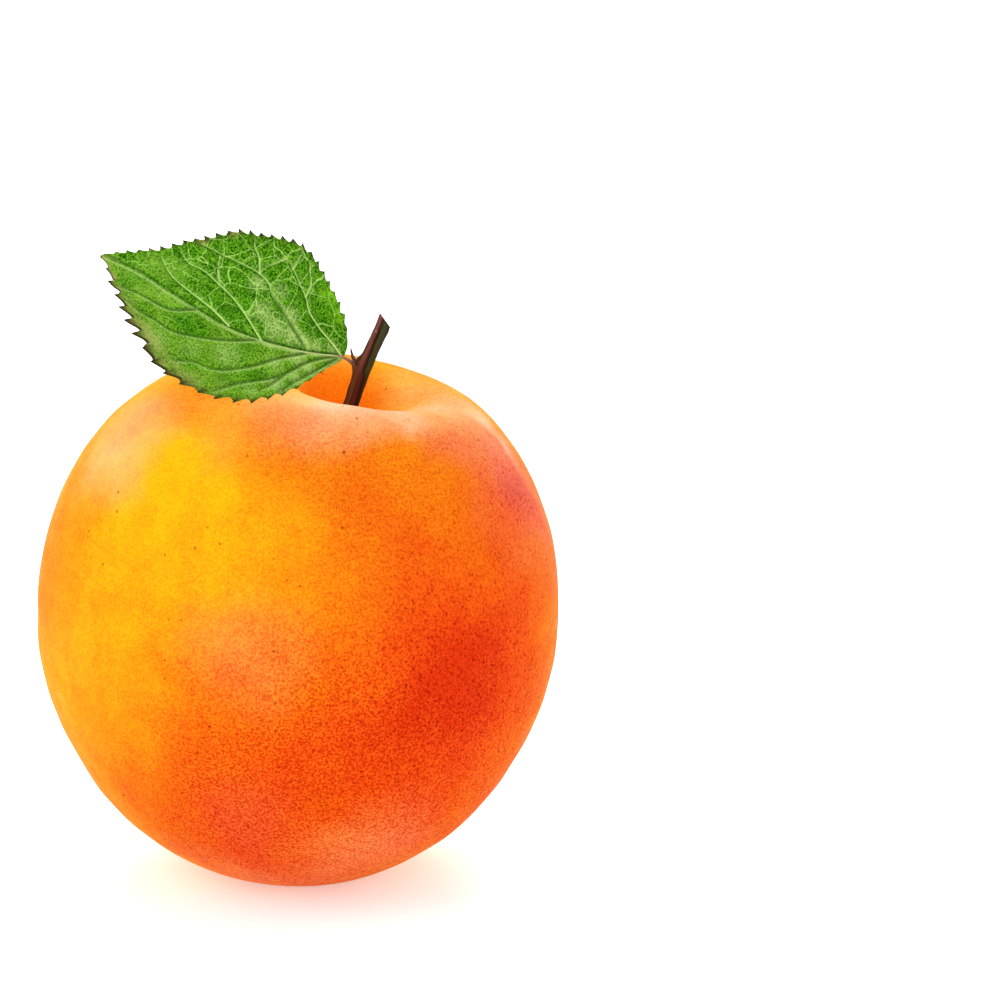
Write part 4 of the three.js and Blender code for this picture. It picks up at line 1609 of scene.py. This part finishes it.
def leaf_upper_face(sheet, flat, off, patchy, grain):
    """The colour of the upper face, and the net's height."""
    upper_half = sheet.spread(off, *HALVES_BLEND)
    colour = leaf_green(sheet, flat, patchy, upper_half)
    coarse = vein_net(sheet, flat, **COARSE_NET)
    middle = sheet.math("MULTIPLY", vein_net(sheet, flat, **MIDDLE_NET), MIDDLE_NET_SHARE)
    fine = vein_net(sheet, flat, **FINE_NET)
    net = sheet.math("MAXIMUM", middle, sheet.math("MULTIPLY", fine, FINE_NET_SHARE))
    shown_net = sheet.math("MULTIPLY", net, sheet.spread(upper_half, 0, 1, 0.95, 1.0))
    colour = sheet.mix(shown_net, colour, LEAF_NET)
    colour = sheet.mix(sheet.spread(grain, *DARK_GRAIN), colour, LEAF_SHADE, "MULTIPLY")
    lit_grain = sheet.math("ADD", sheet.spread(grain, *LIT_GRAIN), fine)
    lit_grain = sheet.math("MULTIPLY", lit_grain, 0.5)
    for centre, reach, strength, patch_colour in LEAF_PATCHES:
        patch = sheet.group(soft_patch, place=flat, centre=centre, reach=reach)
        rough = sheet.spread(lit_grain, 0, 1, PATCH_SHARE_IN_HOLLOWS * strength, strength)
        colour = sheet.mix(sheet.math("MULTIPLY", patch, rough), colour, patch_colour)
    cross_veins = sheet.math("MULTIPLY", coarse, sheet.spread(off, *CROSS_VEIN_RANGE, 0.2, 0.7))
    cross_veins = sheet.math("MULTIPLY", cross_veins, sheet.spread(lit_grain, 0, 1, 0.7, 1.1))
    colour = sheet.mix(cross_veins, colour, LEAF_VEIN)
    # painted light on one wall of each groove, then painted shade on the other
    lit = sheet.math("MULTIPLY", sheet.mark("painted_light_band"), sheet.spread(lit_grain, 0, 1, 0.4, 1.0))
    colour = sheet.mix(lit, colour, LEAF_PAINTED_LIGHT)
    dark = sheet.math("MULTIPLY", sheet.mark("painted_groove_shade"), PAINTED_SHADE_STRENGTH)
    colour = sheet.mix(dark, colour, LEAF_PAINTED_SHADE)
    colour = sheet.mix(sheet.mark("vein"), colour, LEAF_VEIN)
    return colour, sheet.math("MAXIMUM", net, coarse)


print("The cross veins fade in over", CROSS_VEIN_RANGE, "mm from the middle vein")

# %% [markdown]
# The under face is paler and duller, and only a trace of the upper face's pattern shows there.
# The lower margin and the tip have a dried tan band, and the corners of the teeth and the very
# rim have dried to dark brown. The leaf hardly shines: it has no mirror-like gloss at all.

# %% Under face, margins and finish
UNDER_FACE_STRENGTH = 0.8
LEAF_BUMP_GRAIN = 2


def leaf_margins(sheet, colour, patchy):
    """The dried band along the lower margin, the rim and the corners of the teeth."""
    dried = sheet.mark("dried_band")
    band = sheet.math("MULTIPLY", dried, sheet.spread(patchy, 0.1, 0.9, 0.2, 0.8))
    colour = sheet.mix(band, colour, LEAF_TAN)
    rim = sheet.math("MULTIPLY", sheet.mark("rim"), sheet.spread(dried, 0.2, 1, 0.35, 0.95))
    dry = sheet.math("MAXIMUM", sheet.mark("tooth_tip"), rim)
    return sheet.mix(dry, colour, LEAF_DRY)


def leaf_finish():
    material, sheet, shader, _ = new_finish("apricot leaf")
    spot = sheet.node("ShaderNodeSeparateXYZ", {0: sheet.mark("leaf_place", "Vector")}).outputs
    flat = sheet.node("ShaderNodeCombineXYZ", {0: spot[0], 1: spot[1]}).outputs[0]
    under = sheet.mark("under_face")
    patchy = sheet.group(mottling, place=flat, patch_size=FRESH_MOTTLE_SIZE)
    grain = sheet.group(fine_grain, place=flat, grain_size=LEAF_GRAIN_SIZE)
    colour, net = leaf_upper_face(sheet, flat, spot[2], patchy, grain)
    colour = sheet.mix(sheet.math("MULTIPLY", under, UNDER_FACE_STRENGTH), colour, LEAF_UNDER)
    colour = leaf_margins(sheet, colour, patchy)
    sheet.feed(shader.inputs["Base Color"], colour)
    sheet.feed(shader.inputs["Roughness"], sheet.spread(under, 0, 1, 0.42, 0.75))
    height = sheet.math("SUBTRACT", sheet.math("MULTIPLY", grain, LEAF_BUMP_GRAIN), net)
    roughen(sheet, shader, height, strength=0.6, distance=0.0001)
    shader.inputs["Specular IOR Level"].default_value = 0.0
    return material


leaf.data.materials.append(leaf_finish())
print("Leaf finish nodes:", len(leaf.active_material.node_tree.nodes))

# %% [markdown]
# In a room as evenly lit as this one, the skin right under the leaf is meant to stay nearly as
# bright as the rest. The four lamps and the path of bounced light would still darken it and tint
# it green. So the leaf is hidden from shadow rays and from bounced light. It is still seen by
# the camera in full. This is a lighting trick, like a white card held under the leaf.

# %% Light around the leaf
leaf.visible_shadow = False
leaf.visible_diffuse = False
print("The leaf casts a shadow:", leaf.visible_shadow)

# %% [markdown]
# ## Bark, stalk and dry tip
# Young apricot bark is reddish brown where the sun reaches it and dark green-brown in the shade,
# with a sharp change along its front ridge and pale pores here and there. The cut shows pale
# wood with a darker rim. The stalk is dark where it leaves the node, then smooth and pinkish,
# and turns tan and green along the leaf. The stipule is dry and dark. The bark's colours are read
# from two ramps around the twig: one for the part below the node, one for the part above it.
# Besides the bark's own colours, each ramp holds painted light: a painted highlight along the
# red side and painted shade toward both sides of the twig.

# %% Bark finish
# ramps around the twig: the bark's own colours, with a painted highlight on the red side and painted
# shade toward both sides
BARK_AND_LIGHT_ABOVE = [
    (0.0, (0.012, 0.010, 0.003)),
    (0.14, (0.032, 0.034, 0.005)),
    (0.3, (0.045, 0.048, 0.008)),
    (0.4, (0.016, 0.009, 0.004)),
    (0.48, (0.012, 0.005, 0.003)),
    (0.55, (0.10, 0.022, 0.013)),
    (0.7, (0.20, 0.058, 0.032)),
    (0.86, (0.11, 0.026, 0.014)),
    (1.0, (0.045, 0.012, 0.007)),
]
BARK_AND_LIGHT_BELOW = [
    (0.0, (0.030, 0.017, 0.004)),
    (0.2, (0.012, 0.006, 0.003)),
    (0.36, (0.012, 0.004, 0.002)),
    (0.44, (0.085, 0.014, 0.012)),
    (0.6, (0.10, 0.020, 0.016)),
    (0.7, (0.05, 0.015, 0.008)),
    (0.78, (0.14, 0.055, 0.022)),
    (0.92, (0.11, 0.042, 0.015)),
    (1.0, (0.03, 0.014, 0.007)),
]
BARK_STREAK = (0.55, 0.50, 0.45, 1)
BARK_PALE = (0.42, 0.25, 0.16, 1)
WOOD_PALE = (0.50, 0.36, 0.16, 1)
WOOD_RIM = (0.12, 0.09, 0.03, 1)
NODE_RUN = (7.0, 8.6)
STREAK_RUN = 0.12
STREAK_TURN = 1.5
STREAK_SIZE = 0.22
STREAK_STRENGTH = 0.6
BARK_PORE_STRENGTH = 0.7
RIM_BAND_OF_CUT = (0.05, 0.2)
WOOD_BAND_OF_CUT = (0.2, 0.35)


def bark_finish():
    material, sheet, shader, place = new_finish("apricot bark")
    turn = sheet.mark("bark_turn")
    run = sheet.mark("bark_length")
    slow_run = sheet.math("MULTIPLY", run, STREAK_RUN)
    wide_turn = sheet.math("MULTIPLY", turn, STREAK_TURN)
    streak_place = sheet.node("ShaderNodeCombineXYZ", {0: slow_run, 1: wide_turn}).outputs[0]
    streaks = sheet.group(mottling, place=streak_place, patch_size=STREAK_SIZE)
    side = sheet.math("ADD", 0.5, sheet.math("MULTIPLY", turn, 0.5))
    side = sheet.math("ADD", side, sheet.spread(streaks, 0, 1, -0.03, 0.03))
    # each ramp paints a highlight and shade around the twig along with the bark's colours
    below = sheet.ramp(side, BARK_AND_LIGHT_BELOW)
    above = sheet.ramp(side, BARK_AND_LIGHT_ABOVE)
    colour = sheet.mix(sheet.spread(run, *NODE_RUN), below, above)
    shade = sheet.math("MULTIPLY", streaks, STREAK_STRENGTH)
    colour = sheet.mix(shade, colour, BARK_STREAK, "MULTIPLY")
    pores = sheet.group(speckles, place=place, spacing=0.9, dot_size=0.12, share=0.4)
    colour = sheet.mix(sheet.math("MULTIPLY", pores, BARK_PORE_STRENGTH), colour, BARK_PALE)
    bare = sheet.mark("bare_wood")
    wood = sheet.mix(sheet.spread(bare, *WOOD_BAND_OF_CUT), WOOD_RIM, WOOD_PALE)
    colour = sheet.mix(sheet.spread(bare, *RIM_BAND_OF_CUT), colour, wood)
    sheet.feed(shader.inputs["Base Color"], colour)
    sheet.feed(shader.inputs["Roughness"], sheet.spread(streaks, 0, 1, 0.42, 0.6))
    height = sheet.math("ADD", streaks, sheet.group(fine_grain, place=place, grain_size=0.16))
    roughen(sheet, shader, height, strength=0.5, distance=0.00008)
    shader.inputs["Specular IOR Level"].default_value = 0.12
    return material


twig.data.materials.append(bark_finish())
print("Bark finish nodes:", len(twig.active_material.node_tree.nodes))

# %% Stalk finish
STALK_PINK = (0.27, 0.105, 0.045, 1)
STALK_TAN = (0.38, 0.48, 0.13, 1)
STALK_GREEN = (0.28, 0.47, 0.09, 1)
STALK_FOOT = (0.06, 0.018, 0.012, 1)
STALK_MOTTLE = (0.20, 0.10, 0.03, 1)
STALK_MOTTLE_STRENGTH = 0.2
PINK_ENDS = (2.6, 4.6)
TAN_ENDS = (8, 13)
FOOT_ENDS = (2.6, 1.0)


def stalk_finish():
    material, sheet, shader, place = new_finish("leaf stalk")
    run = sheet.mark("stalk_run")
    colour = sheet.mix(sheet.spread(run, *PINK_ENDS), STALK_PINK, STALK_TAN)
    colour = sheet.mix(sheet.spread(run, *TAN_ENDS), colour, STALK_GREEN)
    colour = sheet.mix(sheet.spread(run, *FOOT_ENDS), colour, STALK_FOOT)
    patchy = sheet.group(mottling, place=place, patch_size=0.8)
    mottled = sheet.math("MULTIPLY", patchy, STALK_MOTTLE_STRENGTH)
    colour = sheet.mix(mottled, colour, STALK_MOTTLE)
    sheet.feed(shader.inputs["Base Color"], colour)
    sheet.feed(shader.inputs["Roughness"], sheet.spread(patchy, 0, 1, 0.42, 0.55))
    grain = sheet.group(fine_grain, place=place, grain_size=0.15)
    roughen(sheet, shader, grain, strength=0.3, distance=0.00005)
    return material


stalk.data.materials.append(stalk_finish())
print("Stalk finish nodes:", len(stalk.active_material.node_tree.nodes))

# %% Stipule finish
STIPULE_DARK = (0.07, 0.03, 0.018, 1)
STIPULE_LIGHT = (0.19, 0.09, 0.05, 1)


def stipule_finish():
    material, sheet, shader, place = new_finish("dry stipule")
    patchy = sheet.group(mottling, place=place, patch_size=0.3)
    sheet.feed(shader.inputs["Base Color"], sheet.mix(patchy, STIPULE_DARK, STIPULE_LIGHT))
    sheet.feed(shader.inputs["Roughness"], sheet.spread(patchy, 0, 1, 0.55, 0.75))
    grain = sheet.group(fine_grain, place=place, grain_size=0.08)
    roughen(sheet, shader, grain, strength=0.4, distance=0.00004)
    return material


stipule.data.materials.append(stipule_finish())
print("Finishes:", [material.name for material in bpy.data.materials])

# %% [markdown]
# ## Handing the pieces over
# Each piece now stands for its CAD solid, whose own mesh is hidden, and rides on the part's one
# body. The stalk belongs to the leaf's solid too.

# %% Pieces
for piece, node, slot in (
    (fruit, "fruit", "skin"),
    (twig, "twig", "bark"),
    (leaf, "leaf", "blade"),
    (stalk, "leaf", "blade"),
    (stipule, "stipule", "dry_tip"),
):
    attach(piece, "root")
    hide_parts(node)
